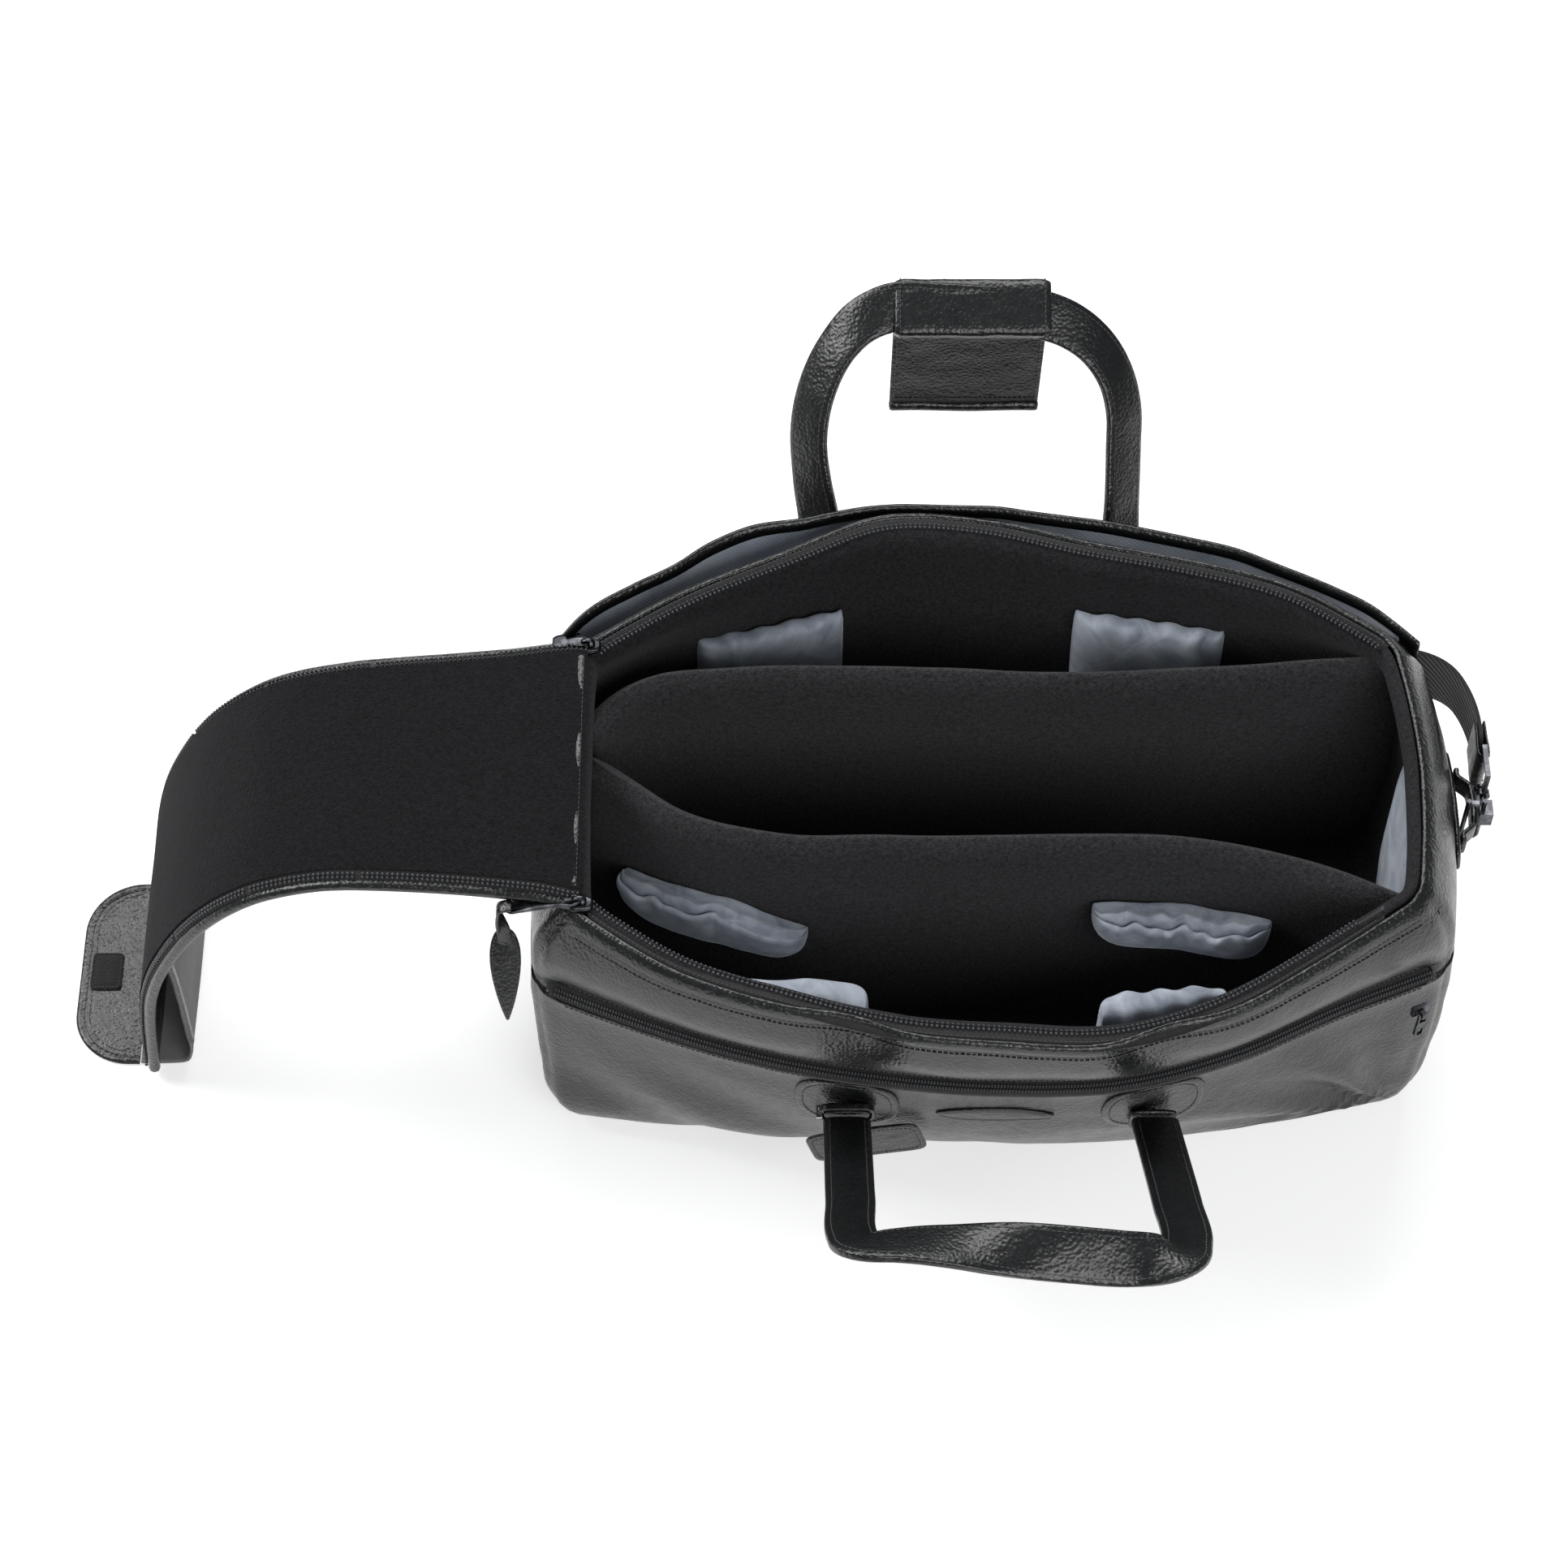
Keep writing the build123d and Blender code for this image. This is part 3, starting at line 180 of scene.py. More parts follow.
END_OF_LOOP = 2 * WALL_COUNT + END_COUNT
LEG_HALF = 93.0                        # from a handle's middle to each of its legs


def unit(rows):
    """Each row of an array at length 1."""
    return rows / np.linalg.norm(rows, axis=1)[:, None]


def round_heading(loop):
    """The way along a closed outline at each of its points."""
    return unit(np.roll(loop, -1, axis=0) - np.roll(loop, 1, axis=0))


def evenly(points, count):
    """Evenly spaced points along the straight lines between the given ones."""
    points = np.array(points, float)
    run = np.concatenate([[0], np.cumsum(np.linalg.norm(np.diff(points, axis=0), axis=1))])
    even = np.linspace(0, run[-1], count)
    return np.stack([np.interp(even, run, column) for column in points.T], axis=1)


def at_height(plan, z):
    """A plan line or outline as XYZ at one height."""
    return np.concatenate([plan, np.full((len(plan), 1), float(z))], axis=1)


def smooth_between(values, slopes, k, t, h):
    """A smooth value a share t of the way from knot k to the next one, h further on."""
    return ((2 * t**3 - 3 * t**2 + 1) * values[k] + (t**3 - 2 * t**2 + t) * h * slopes[k]
            + (3 * t**2 - 2 * t**3) * values[k + 1] + (t**3 - t**2) * h * slopes[k + 1])


def line_through(points, count):
    """Evenly spaced points on a smooth line through the given ones."""
    knots = np.array(points, float)
    at = np.concatenate([[0], np.cumsum(np.linalg.norm(np.diff(knots, axis=0), axis=1))])
    slopes = np.gradient(knots, at, axis=0)
    fine = np.linspace(0, at[-1], 24 * len(knots))
    k = np.clip(np.searchsorted(at, fine, side="right") - 1, 0, len(at) - 2)
    h = (at[k + 1] - at[k])[:, None]
    t = ((fine - at[k]) / h[:, 0])[:, None]
    return evenly(smooth_between(knots, slopes, k, t, h), count)


def level_at(z):
    """The body's numbers at any height, smooth from level to level."""
    rows = np.array([[level[1], level[2], *level[3], *level[4]] for level in BODY_LEVELS], float)
    at = np.array([level[0] for level in BODY_LEVELS], float)
    slopes = np.gradient(rows, at, axis=0)
    z = min(max(z, at[0]), at[-1])
    k = min(int(np.searchsorted(at, z, side="right")) - 1, len(at) - 2)
    h = at[k + 1] - at[k]
    return smooth_between(rows, slopes, k, (z - at[k]) / h, h)


def wall_line(side, z, count=181):
    """The front or back wall's plan at a height, from its left corner to its right one."""
    numbers = level_at(z)
    x = np.linspace(numbers[0], numbers[1], 9)
    y = numbers[2:11] if side == FRONT else numbers[11:20]
    return line_through(np.stack([x, y], axis=1), count)


def body_loop(z, wall_count=WALL_COUNT, end_count=END_COUNT, rounding=12, inset=0.0):
    """Closed plan outline at a height, counter-clockwise from the front left corner. The corners
    are rounded, and inset draws it in."""
    front, rear = wall_line(FRONT, z, wall_count), wall_line(REAR, z, wall_count)[::-1]
    share = np.linspace(0, 1, end_count + 2)[1:-1, None]
    swell = np.sin(np.pi * share)
    right = front[-1] + (rear[0] - front[-1]) * share + swell * np.array([[RIGHT_BULGE, 0]])
    left = rear[-1] + (front[0] - rear[-1]) * share - swell * np.array([[LEFT_BULGE, 0]])
    loop = np.concatenate([front, right, rear, left])
    for _ in range(rounding):
        loop = 0.5 * loop + 0.25 * (np.roll(loop, 1, axis=0) + np.roll(loop, -1, axis=0))
    if inset:
        along = round_heading(loop)
        loop = loop + inset * np.stack([-along[:, 1], along[:, 0]], axis=1)
    return loop


def sheet_of(name, places, closed=False, capped=False):
    """A grid in a given shape: places is rows by columns of XYZ in millimetres. A closed one has
    its last column joined to its first, and a capped one has its first and last rows filled."""
    places = np.array(places, float)
    rows, columns = places.shape[:2]
    if closed:
        places = np.concatenate([places, places[:, :1]], axis=1)
        columns += 1
    bpy.ops.object.select_all(action="DESELECT")
    bpy.ops.mesh.primitive_grid_add(x_subdivisions=columns - 1, y_subdivisions=rows - 1)
    piece = bpy.context.object
    piece.name = piece.data.name = name
    piece.data.vertices.foreach_set("co", (places * MM).reshape(-1))
    for layer in list(piece.data.uv_layers):
        piece.data.uv_layers.remove(layer)
    if closed or capped:
        bpy.ops.object.mode_set(mode="EDIT")
        bpy.ops.mesh.select_all(action="SELECT")
        bpy.ops.mesh.remove_doubles(threshold=2e-6)
        if capped:
            bpy.ops.mesh.select_all(action="DESELECT")
            bpy.ops.mesh.select_non_manifold()
            bpy.ops.mesh.fill_holes(sides=0)
        bpy.ops.mesh.select_all(action="SELECT")
        bpy.ops.mesh.normals_make_consistent(inside=False)
        bpy.ops.object.mode_set(mode="OBJECT")
    bpy.ops.object.shade_smooth()
    return piece


def fill_ring(piece, inside):
    """Fills the hole in a ring of edges, those with both of their ends inside, in millimetres."""
    bpy.ops.object.mode_set(mode="EDIT")
    bpy.ops.mesh.select_all(action="DESELECT")
    bpy.ops.object.mode_set(mode="OBJECT")
    for edge in piece.data.edges:
        edge.select = all(inside(piece.data.vertices[i].co / MM) for i in edge.vertices)
    bpy.ops.object.mode_set(mode="EDIT")
    bpy.ops.mesh.fill_holes(sides=0)
    bpy.ops.object.mode_set(mode="OBJECT")


def finish_piece(piece, material, body, replaced=(), thickness=0.0, offset=-1.0,
                 levels=0, sharp=None):
    """Thickens and smooths a piece as asked, gives it its material and fixes it to a body."""
    bpy.ops.object.select_all(action="DESELECT")
    piece.select_set(True)
    bpy.context.view_layer.objects.active = piece
    if thickness:
        wall = piece.modifiers.new("thickness", "SOLIDIFY")
        wall.thickness, wall.offset = thickness * MM, offset
        bpy.ops.object.modifier_apply(modifier=wall.name)
    if levels:
        smooth = piece.modifiers.new("smooth", "SUBSURF")
        smooth.levels = smooth.render_levels = levels
        bpy.ops.object.modifier_apply(modifier=smooth.name)
    if sharp:
        bpy.ops.object.shade_smooth_by_angle(angle=math.radians(sharp))
    piece.data.materials.clear()
    piece.data.materials.append(material)
    if body:
        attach(piece, body)
    if replaced:
        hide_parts(*replaced)
    return piece


def leather_finish(name, colour, roughness, grain_mm, depth):
    """Black nappa: finely pebbled, semi-matt, its sheen broken up by the grain and by soft
    puckers, with worn paler ridges."""
    material = start_material(name)
    place = node(material, "ShaderNodeTexCoord").outputs["Object"]
    pebble = node(material, "ShaderNodeTexVoronoi",
                  {"Scale": 1000.0 / grain_mm, "feature": "SMOOTH_F1", "Randomness": 0.9},
                  Vector=place)
    clouds = node(material, "ShaderNodeTexNoise", {"Scale": 16.0, "Detail": 6.0, "Roughness": 0.6},
                  Vector=place)
    puckers = node(material, "ShaderNodeTexNoise",
                   {"Scale": 150.0, "Detail": 5.0, "Roughness": 0.65}, Vector=place)
    dents = node(material, "ShaderNodeTexNoise", {"Scale": 38.0, "Detail": 2.0}, Vector=place)
    worn = [min(1, c * 1.45) for c in linear(colour)[:3]] + [1]
    tone = node(material, "ShaderNodeValToRGB", {"stops": ((0.3, linear(colour)), (0.72, worn))},
                Fac=clouds.outputs["Fac"])
    gloss = node(material, "ShaderNodeMapRange",
                 {"To Min": roughness - 0.1, "To Max": roughness + 0.16},
                 Value=puckers.outputs["Fac"])
    small = node(material, "ShaderNodeBump", {"Strength": 1.0, "Distance": depth * MM},
                 Height=pebble.outputs["Distance"])
    fine = node(material, "ShaderNodeBump", {"Strength": 0.5, "Distance": 0.55 * MM},
                Height=puckers.outputs["Fac"], Normal=small.outputs["Normal"])
    large = node(material, "ShaderNodeBump", {"Strength": 0.45, "Distance": 2.2 * MM},
                 Height=dents.outputs["Fac"], Normal=fine.outputs["Normal"])
    shader = node(material, "ShaderNodeBsdfPrincipled", {"Specular IOR Level": 0.6},
                  Base_Color=tone.outputs["Color"], Roughness=gloss.outputs["Result"],
                  Normal=large.outputs["Normal"])
    return finish_material(material, shader.outputs[0])


leather = leather_finish("black_nappa_leather", "#0c0d0e", 0.29, 2.1, 0.42)

ZIP_Z, ZIP_HALF = 168.0, 4.8           # pocket zip and the slot that it fills
ZIP_FIRST, ZIP_LAST = -272, 262        # X of the slot's two ends


def pull_folds(x, z):
    """How far the front leather stands out from its plain wall: slack diagonal folds at the
    left, folds that fan from the lower right corner, and soft dents between."""
    low = np.clip((150 - z) / 60, 0, 1) * np.clip(z / 25, 0, 1)
    left = np.exp(-((x + 190) / 75) ** 2)
    out = 2.6 * left * low * np.sin((x * 0.8 + z * 1.1) / 17.0)
    angle = np.arctan2(z - 6, 262 - x)
    reach = np.exp(-(((262 - x) ** 2 + (z - 6) ** 2) ** 0.5 - 70) ** 2 / 90 ** 2)
    out += 4.2 * reach * low * np.sin(angle * 13 + 0.6) * np.clip((262 - x) / 40, 0, 1)
    return out


def ledge(z):
    """How far the skin stands out near the pocket zip: the pocket out, and the band above in."""
    away = z - ZIP_Z
    fade = math.exp(-(max(0.0, abs(away) - ZIP_HALF) / 9.0) ** 2)
    return -3.0 * np.clip(away / ZIP_HALF, -1, 1) * fade


def shaped_skin(z, inset=0.0):
    """One row of the leather skin, with its folds, in millimetres."""
    loop = body_loop(z, inset=inset)
    along = round_heading(loop)
    outward = np.stack([along[:, 1], -along[:, 0]], axis=1)
    count = len(loop)
    lift = np.zeros(count)
    front = slice(0, WALL_COUNT)
    lift[front] += pull_folds(loop[front, 0], z)
    for i in range(count):
        spot = Vector((loop[i, 0], loop[i, 1] * 1.3, z)) / 62.0
        lift[i] += 1.5 * noise.noise(spot) + 0.5 * noise.noise(spot * 3.1)
    # A sewn corner is a valley between two low ridges.
    for seam in (0, WALL_COUNT - 1, WALL_COUNT + END_COUNT, END_OF_LOOP - 1):
        away = np.abs((np.arange(count) - seam + count // 2) % count - count // 2)
        lift -= 1.1 * np.exp(-(away / 0.8) ** 2) * (z > 8)
        lift += 0.9 * np.exp(-((away - 2.5) / 1.3) ** 2) * (z > 8)
    # The band above the pocket swells, and the zip and the rim hold the leather flat.
    band = math.exp(-((z - 206) / 16.0) ** 2) * 3.2
    hold = 0.25 + 0.75 * min(1.0, abs(z - ZIP_Z) / 25)
    hold *= 0.3 + 0.7 * min(1.0, abs(MOUTH_Z - z) / 20)
    lift *= hold
    across = np.clip(np.minimum(np.arange(count), WALL_COUNT - 1 - np.arange(count)) / 5.0, 0, 1)
    lift += across * (ledge(z) + band)
    # The raised handle's legs press the band in.
    legs = np.exp(-((np.abs(loop[front, 0]) - LEG_HALF) / 27) ** 2)
    lift[front] -= 5.6 * legs * np.clip((z - 180) / 20, 0, 1)
    loop = loop + outward * lift[:, None]
    return at_height(loop, z)


# Bottom edge rolls in to the flat bottom; the mouth edge is turned in over the zip tape.
rows = [at_height(body_loop(0, inset=inset), z)
        for inset, z in ((60, 0.3), (14, 0.2), (6, 0.1), (1.5, 1.2))]
rows += [shaped_skin(z) for z in (4, 8, 13, 20, 28, 36, 44, 52, 60, 68, 76, 84, 92, 100, 108, 116,
                                  124, 132, 140, 148, 155, 160)]
rows += [shaped_skin(ZIP_Z - ZIP_HALF, i) for i in (-0.2, 0.9)]
rows += [shaped_skin(ZIP_Z + ZIP_HALF, i) for i in (0.9, -0.2)]
rows += [shaped_skin(z) for z in (177, 183, 190, 197, 204, 211, 218, 224, 229)]
for inset, z in ((-1.2, 233), (-1.6, 236.5), (-0.6, 239.6), (1.6, 240.8), (3.4, 239.6), (4.0, 237)):
    rim = shaped_skin(min(z, MOUTH_Z), inset)
    rim[:, 2] = z
    rows.append(rim)
body_skin = sheet_of("body_leather", rows, closed=True)

bpy.ops.object.mode_set(mode="EDIT")
bpy.ops.mesh.select_all(action="DESELECT")
bpy.ops.object.mode_set(mode="OBJECT")
for face in body_skin.data.polygons:
    x, y, z = face.center / MM
    face.select = abs(z - ZIP_Z) < ZIP_HALF - 0.5 and y < -70 and ZIP_FIRST < x < ZIP_LAST
bpy.ops.object.mode_set(mode="EDIT")
bpy.ops.mesh.delete(type="FACE")
bpy.ops.object.mode_set(mode="OBJECT")
fill_ring(body_skin, lambda end: abs(end.z - 0.3) < 0.05)
finish_piece(body_skin, leather, "bag",
             ("base_panel", "front_wall", "front_band", "front_pocket_panel", "rear_wall",
              "left_end", "right_end"), thickness=SKIN)


# ---- pile lining ------------------------------------------------------------------------------
# The inside shell: 8 mm foam faced with black knitted pile, sewn in at the mouth. Its surface is
# short, dense loops that drink the light and show pale only on their edges.
def pile_finish(name, colour, edge_colour, loop_mm):
    material = start_material(name)
    place = node(material, "ShaderNodeTexCoord").outputs["Object"]
    loops = node(material, "ShaderNodeTexVoronoi", {"Scale": 1000.0 / loop_mm}, Vector=place)
    drift = node(material, "ShaderNodeTexNoise", {"Scale": 420.0, "Detail": 4.0, "Roughness": 0.7},
                 Vector=place)
    tone = node(material, "ShaderNodeValToRGB",
                {"stops": ((0.32, linear(colour)), (0.72, linear(edge_colour)))},
                Fac=drift.outputs["Fac"])
    tufts = node(material, "ShaderNodeBump", {"Strength": 0.9, "Distance": 0.7 * MM},
                 Height=loops.outputs["Distance"])
    nap = node(material, "ShaderNodeBump", {"Strength": 0.4, "Distance": 0.4 * MM},
               Height=drift.outputs["Fac"], Normal=tufts.outputs["Normal"])
    shader = node(material, "ShaderNodeBsdfPrincipled",
                  {"Roughness": 1.0, "Specular IOR Level": 0.08, "Sheen Weight": 0.1,
                   "Sheen Roughness": 0.5, "Sheen Tint": (0.6, 0.6, 0.62, 1)},
                  Base_Color=tone.outputs["Color"], Normal=nap.outputs["Normal"])
    return finish_material(material, shader.outputs[0])


knitted_pile = pile_finish("black_knitted_pile", "#1b1b1c", "#333335", 1.1)

FLOOR_Z, LINING_INSET = 17.3, 14.0


def soft_dents(loop, z, amount=1.4):
    """Pushes a plan outline in and out by slow noise, as foam does under its cover."""
    along = round_heading(loop)
    out = np.array([noise.noise(Vector((x, y, z)) / 48.0)
                    + 0.5 * noise.noise(Vector((x, y, z)) / 17.0) for x, y in loop])
    return loop + np.stack([along[:, 1], -along[:, 0]], axis=1) * (amount * out)[:, None]


def lining_row(z, inset, amount=1.4, share=1.0, height=None):
    """One row of the lining: share draws it in to the middle, and height moves it off its level."""
    loop = body_loop(max(z, 12), wall_count=130, end_count=40, rounding=10, inset=inset)
    loop = soft_dents(loop, z, amount) * share
    return at_height(loop, z if height is None else height)


rows = [lining_row(17, 26, 0.6, share, FLOOR_Z) for share in (0.08, 0.4, 0.75, 0.95)]
rows += [lining_row(17, inset, 0.8, 1.0, z) for inset, z in ((22, 17.6), (18, 19.5), (15.5, 23.5))]
rows += [lining_row(z, LINING_INSET) for z in range(32, 226, 8)]
rows += [lining_row(z, inset, 0.6) for inset, z in ((13.4, 228), (11.8, 231.5), (9.6, 233.4),
                                                    (7.4, 234.0))]
inner_shell = sheet_of("pile_lining_shell", rows, closed=True)
fill_ring(inner_shell, lambda end: abs(end.x) < 24 and abs(end.y) < 12 and end.z < 18)
finish_piece(inner_shell, knitted_pile, "bag",
             ("floor_lining", "front_lining", "rear_lining", "left_lining", "right_lining",
              "base_board"), thickness=7.0, offset=1.0)


# ---- padded dividers --------------------------------------------------------------------------
# Two foam boards covered with the same pile stand along the bag. Their tops are rounded, and at
# the left they are drawn together and tacked, which gathers the cover.
DIVIDER_TOP, DIVIDER_THICK = 226.0, 21.0
GATHER_X = -246                        # where the cover is tacked


def band_section(count, width, thick, power=0.45):
    """A rounded slab's outline: across, then up, both measured from its middle."""
    turn = np.linspace(0, 2 * math.pi, count, endpoint=False)
    c, s = np.cos(turn), np.sin(turn)
    return np.stack([np.sign(c) * np.abs(c) ** power * width / 2,
                     np.sign(s) * np.abs(s) ** power * thick / 2], axis=1)


# The boards stand up in the light, so their pile is painted a little paler than the shell's: a lit
# copy of the same pile, painted light.
board_pile_painted_light = pile_finish("black_knitted_pile_board_painted_light", "#262627", "#454547", 1.1)


def heading_at(line, i):
    """The way along an open line at one of its points."""
    way = line[min(i + 1, len(line) - 1)] - line[max(i - 1, 0)]
    return way / np.linalg.norm(way)


def divider(name, crest, foot, node_name, layer):
    """A board between its crest's line and its foot's line in plan, gathered at the left. Layer
    picks the noise that its crest dips by."""
    count, around = 170, 36
    top, bottom = line_through(crest, count), line_through(foot, count)
    rows = []
    for i in range(count):
        along = heading_at(top, i)
        across = np.array([-along[1], along[0]])
        near_end = min(i, count - 1 - i) / 6.0
        swell = 1 - 0.55 * max(0.0, 1 - near_end) ** 2
        row = []
        for a, up in band_section(around, 1.0, 1.0, 0.5):
            share = up + 0.5
            z = FLOOR_Z - 1 + share * (DIVIDER_TOP - FLOOR_Z + 1)
            middle = bottom[i] + (top[i] - bottom[i]) * share
            crown = 1 - 0.82 * max(0.0, (share - 0.93) / 0.07) ** 2.2
            spot = Vector((middle[0], middle[1] + 300 * a, z))
            puff = 1 + 0.07 * noise.noise(spot / 40.0)
            pleat = 2.4 * math.exp(-((middle[0] - GATHER_X) / 20) ** 2) * share ** 2
            wave = pleat * math.sin(z / 3.4 + a * 2.0)
            place = middle + across * (a * DIVIDER_THICK * swell * crown * puff + 0.6 * wave)
            dip = 1.8 * noise.noise(Vector((top[i][0] / 55.0, 3.0, layer))) * share ** 6
            row.append((place[0], place[1], z + dip - (2.0 * pleat * share ** 8)))
        rows.append(row)
    piece = sheet_of(name, rows, closed=True, capped=True)
    finish_piece(piece, board_pile_painted_light, "bag", (node_name,), levels=1)
    return piece


divider("rear_divider_pile",
        ((-251, 44), (-243, 60), (-231, 72), (-210, 82), (-168, 87), (-104, 89), (-30, 87),
         (37, 84), (100, 86), (163, 90), (246, 97), (262, 98)),
        ((-264, 30), (-245, 48), (-231, 64), (-210, 80), (-168, 88), (-104, 91), (-30, 91),
         (37, 91), (100, 91), (163, 93), (246, 97), (262, 98)), "rear_divider", 2)
divider("front_divider_pile",
        ((-252, 28), (-243, 20), (-224, 4), (-198, -16), (-134, -34), (-60, -36), (-16, -36),
         (40, -35), (101, -36), (178, -52), (244, -80), (262, -88)),
        ((-264, 6), (-243, 2), (-224, -8), (-198, -18), (-134, -34), (-60, -35), (-16, -35),
         (40, -35), (101, -36), (178, -52), (244, -80), (262, -88)), "front_divider", 1)


# ---- velvet pads ------------------------------------------------------------------------------
# Blue-grey velvet over foam, glued and slip-stitched to the pile where the horns touch. The nap
# lies in patches, so it goes from slate to pale grey, and each pad puckers along its edges.
def velvet_finish(name, shade, pale):
    material = start_material(name)
    place = node(material, "ShaderNodeTexCoord").outputs["Object"]
    nap = node(material, "ShaderNodeTexNoise", {"Scale": 38.0, "Detail": 5.0, "Roughness": 0.6,
                                                "Distortion": 0.8}, Vector=place)
    fibre = node(material, "ShaderNodeTexNoise", {"Scale": 1400.0, "Detail": 2.0}, Vector=place)
    tone = node(material, "ShaderNodeValToRGB",
                {"stops": ((0.3, linear(shade)), (0.7, linear(pale)))}, Fac=nap.outputs["Fac"])
    short = node(material, "ShaderNodeBump", {"Strength": 0.4, "Distance": 0.3 * MM},
                 Height=fibre.outputs["Fac"])
    brushed = node(material, "ShaderNodeBump", {"Strength": 0.5, "Distance": 1.0 * MM},
                   Height=nap.outputs["Fac"], Normal=short.outputs["Normal"])
    shader = node(material, "ShaderNodeBsdfPrincipled",
                  {"Roughness": 0.85, "Specular IOR Level": 0.2, "Sheen Weight": 0.8,
                   "Sheen Roughness": 0.35, "Sheen Tint": (0.75, 0.8, 0.88, 1)},
                  Base_Color=tone.outputs["Color"], Normal=brushed.outputs["Normal"])
    return finish_material(material, shader.outputs[0])


velvet = velvet_finish("blue_grey_velvet", "#747c89", "#b4bac3")


def soft_pad(name, back, low, high, deep, out, puckers=5):
    """A crowned pad: back is its line on the wall in plan, out the way that it stands off, and
    deep how far it does at its first and its last end."""
    count, around = 44, 30
    line = line_through(back, count)
    rows = []
    for i in range(count):
        u = i / (count - 1)
        along = heading_at(line, i)
        across = np.array([-along[1], along[0]])
        across *= 1 if across @ np.array(out) > 0 else -1
        full = (1 - abs(2 * u - 1) ** 5) ** 0.5
        draw = 1 - 0.035 * abs(math.sin(math.pi * puckers * u)) - 0.05 * (1 - full)
        row = []
        for a, up in band_section(around, 1.0, 1.0, 0.62):
            share = up + 0.5
            stand = (a + 0.5) * (deep[0] + (deep[1] - deep[0]) * u) * (0.25 + 0.75 * full)
            ripple = math.sin(math.pi * 2 * puckers * u + 2 * share)
            stand += 0.9 * ripple * (a > 0) * abs(2 * share - 1) ** 3
            z = (low + high) / 2 + up * (high - low) * draw
            z += 1.3 * math.sin(2 * math.pi * puckers * u) * abs(2 * share - 1) ** 2
            spot = Vector((line[i][0], line[i][1], z)) / 22.0
            place = line[i] + across * (stand + 0.9 * noise.noise(spot))
            row.append((place[0], place[1], z))
        rows.append(row)
    piece = sheet_of(name, rows, closed=True, capped=True)
    finish_piece(piece, velvet, "bag", levels=1)
    return piece


def gathered_pouch(name, back, lows, highs, deep, waves, open_to):
    """A pouch of folded velvet on the front divider. Its mouth is gathered, so two hems wave side
    by side, up to a place along it, and past that the velvet is drawn flat."""
    count = 90
    line = line_through(back, count)
    rows = []
    for i in range(count):
        u = i / (count - 1)
        along = heading_at(line, i)
        across = np.array([along[1], -along[0]])
        full = max(0.0, 1 - abs(2 * u - 1) ** 6) ** 0.5
        low, high = np.interp(u, (0, 0.3, 0.6, 1), lows), np.interp(u, (0, 0.3, 0.6, 1), highs)
        loose = min(1.0, max(0.0, (open_to - u) / 0.12))
        first = loose * waves * (math.sin(19 * u + 0.6) + 0.6 * math.sin(43 * u + 1.4))
        second = 0.75 * first + loose * waves * 0.5 * math.sin(31 * u)
        rise = loose * (1.2 * math.sin(27 * u) + 0.8 * math.sin(61 * u))
        d = 3 + (deep - 3) * full
        low += 6 * (1 - full)
        high -= 4 * (1 - full)
        groove = 1.5 + 6.5 * loose
        # Up the face, over the outer hem, down between the two hems, over the inner one and back.
        section = ((0, low + 2), (0.5 * d, low - 1), (0.86 * d, low + 3), (d, (low + high) / 2 - 2),
                   (d + 0.7 * first, high - 6), (0.99 * d + first, high - 1 + rise),
                   (0.90 * d + first, high + 1 + rise), (0.80 * d + first, high - 1 + rise),
                   (0.72 * d + first, high - groove), (0.62 * d + second, high - 0.5 - rise * 0.5),
                   (0.50 * d + second, high + 1.2 - rise * 0.5),
                   (0.40 * d + second, high - 1 - rise * 0.5), (0.22 * d + 0.5 * second, high - 3),
                   (0, high - 4), (0, (low + high) / 2))
        profile = line_through(section, 54)
        row = []
        for stand, z in profile:
            spot = Vector((line[i][0], stand * 1.5, z)) / 14.0
            place = line[i] + across * (max(stand, 0.0) + 0.7 * noise.noise(spot))
            row.append((place[0], place[1], z + 0.5 * noise.noise(spot * 1.7)))
        rows.append(row)
    piece = sheet_of(name, rows, closed=True, capped=True)
    finish_piece(piece, velvet, "bag", levels=1)
    return piece


PAD_SEAT = 15.5                        # from the leather's line to the lining's face
PAD_Z = 160


def inner_wall(side, first, last):
    """Where the lining stands between two X places, as a plan line."""
    line = wall_line(side, PAD_Z, 61)
    along = unit(np.gradient(line, axis=0))
    line = line + PAD_SEAT * (-side) * np.stack([-along[:, 1], along[:, 0]], axis=1)
    x = np.linspace(first, last, 9)
    return np.stack([x, np.interp(x, line[:, 0], line[:, 1])], axis=1)


wall_pad = soft_pad("velvet_pad_back_left", inner_wall(REAR, -188, -94), 122, 200, (20, 20),
                    (0, -1))
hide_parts("wall_pads")
soft_pad("velvet_pad_back_right", inner_wall(REAR, 54, 150), 122, 200, (20, 20), (0, -1))
soft_pad("velvet_pad_front_left", inner_wall(FRONT, -164, -82), 112, 214, (14, 33), (0, 1), 2)
soft_pad("velvet_pad_front_right", inner_wall(FRONT, 56, 134), 112, 213, (31, 16), (0, 1), 4)
pouch = gathered_pouch("velvet_pouch_left",
                       ((-229, -13.5), (-214, -23), (-190, -33.3), (-160, -40.5), (-132, -47.0),
                        (-116, -47.6)),
                       (140, 136, 132, 127), (163, 167, 166, 147), 22, 1.7, 0.68)
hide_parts("divider_pouches")
gathered_pouch("velvet_pouch_right", ((58, -47.8), (84, -47.9), (112, -48.5), (140, -54.7),
                                      (168, -61.6)),
               (150, 148, 147, 149), (176, 174, 174, 178), 25, 1.9, 1.2)
bell_pad = soft_pad("velvet_bell_pad", ((266, 40), (268, 15), (268, -20), (264, -54)), 62, 222,
                    (20, 20), (-1, 0))
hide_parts("end_pads")
soft_pad("velvet_left_panel", ((-263, -86), (-267, -60), (-268, -40), (-268, -16)), 92, 205, (8, 8),
         (1, 0), 2)


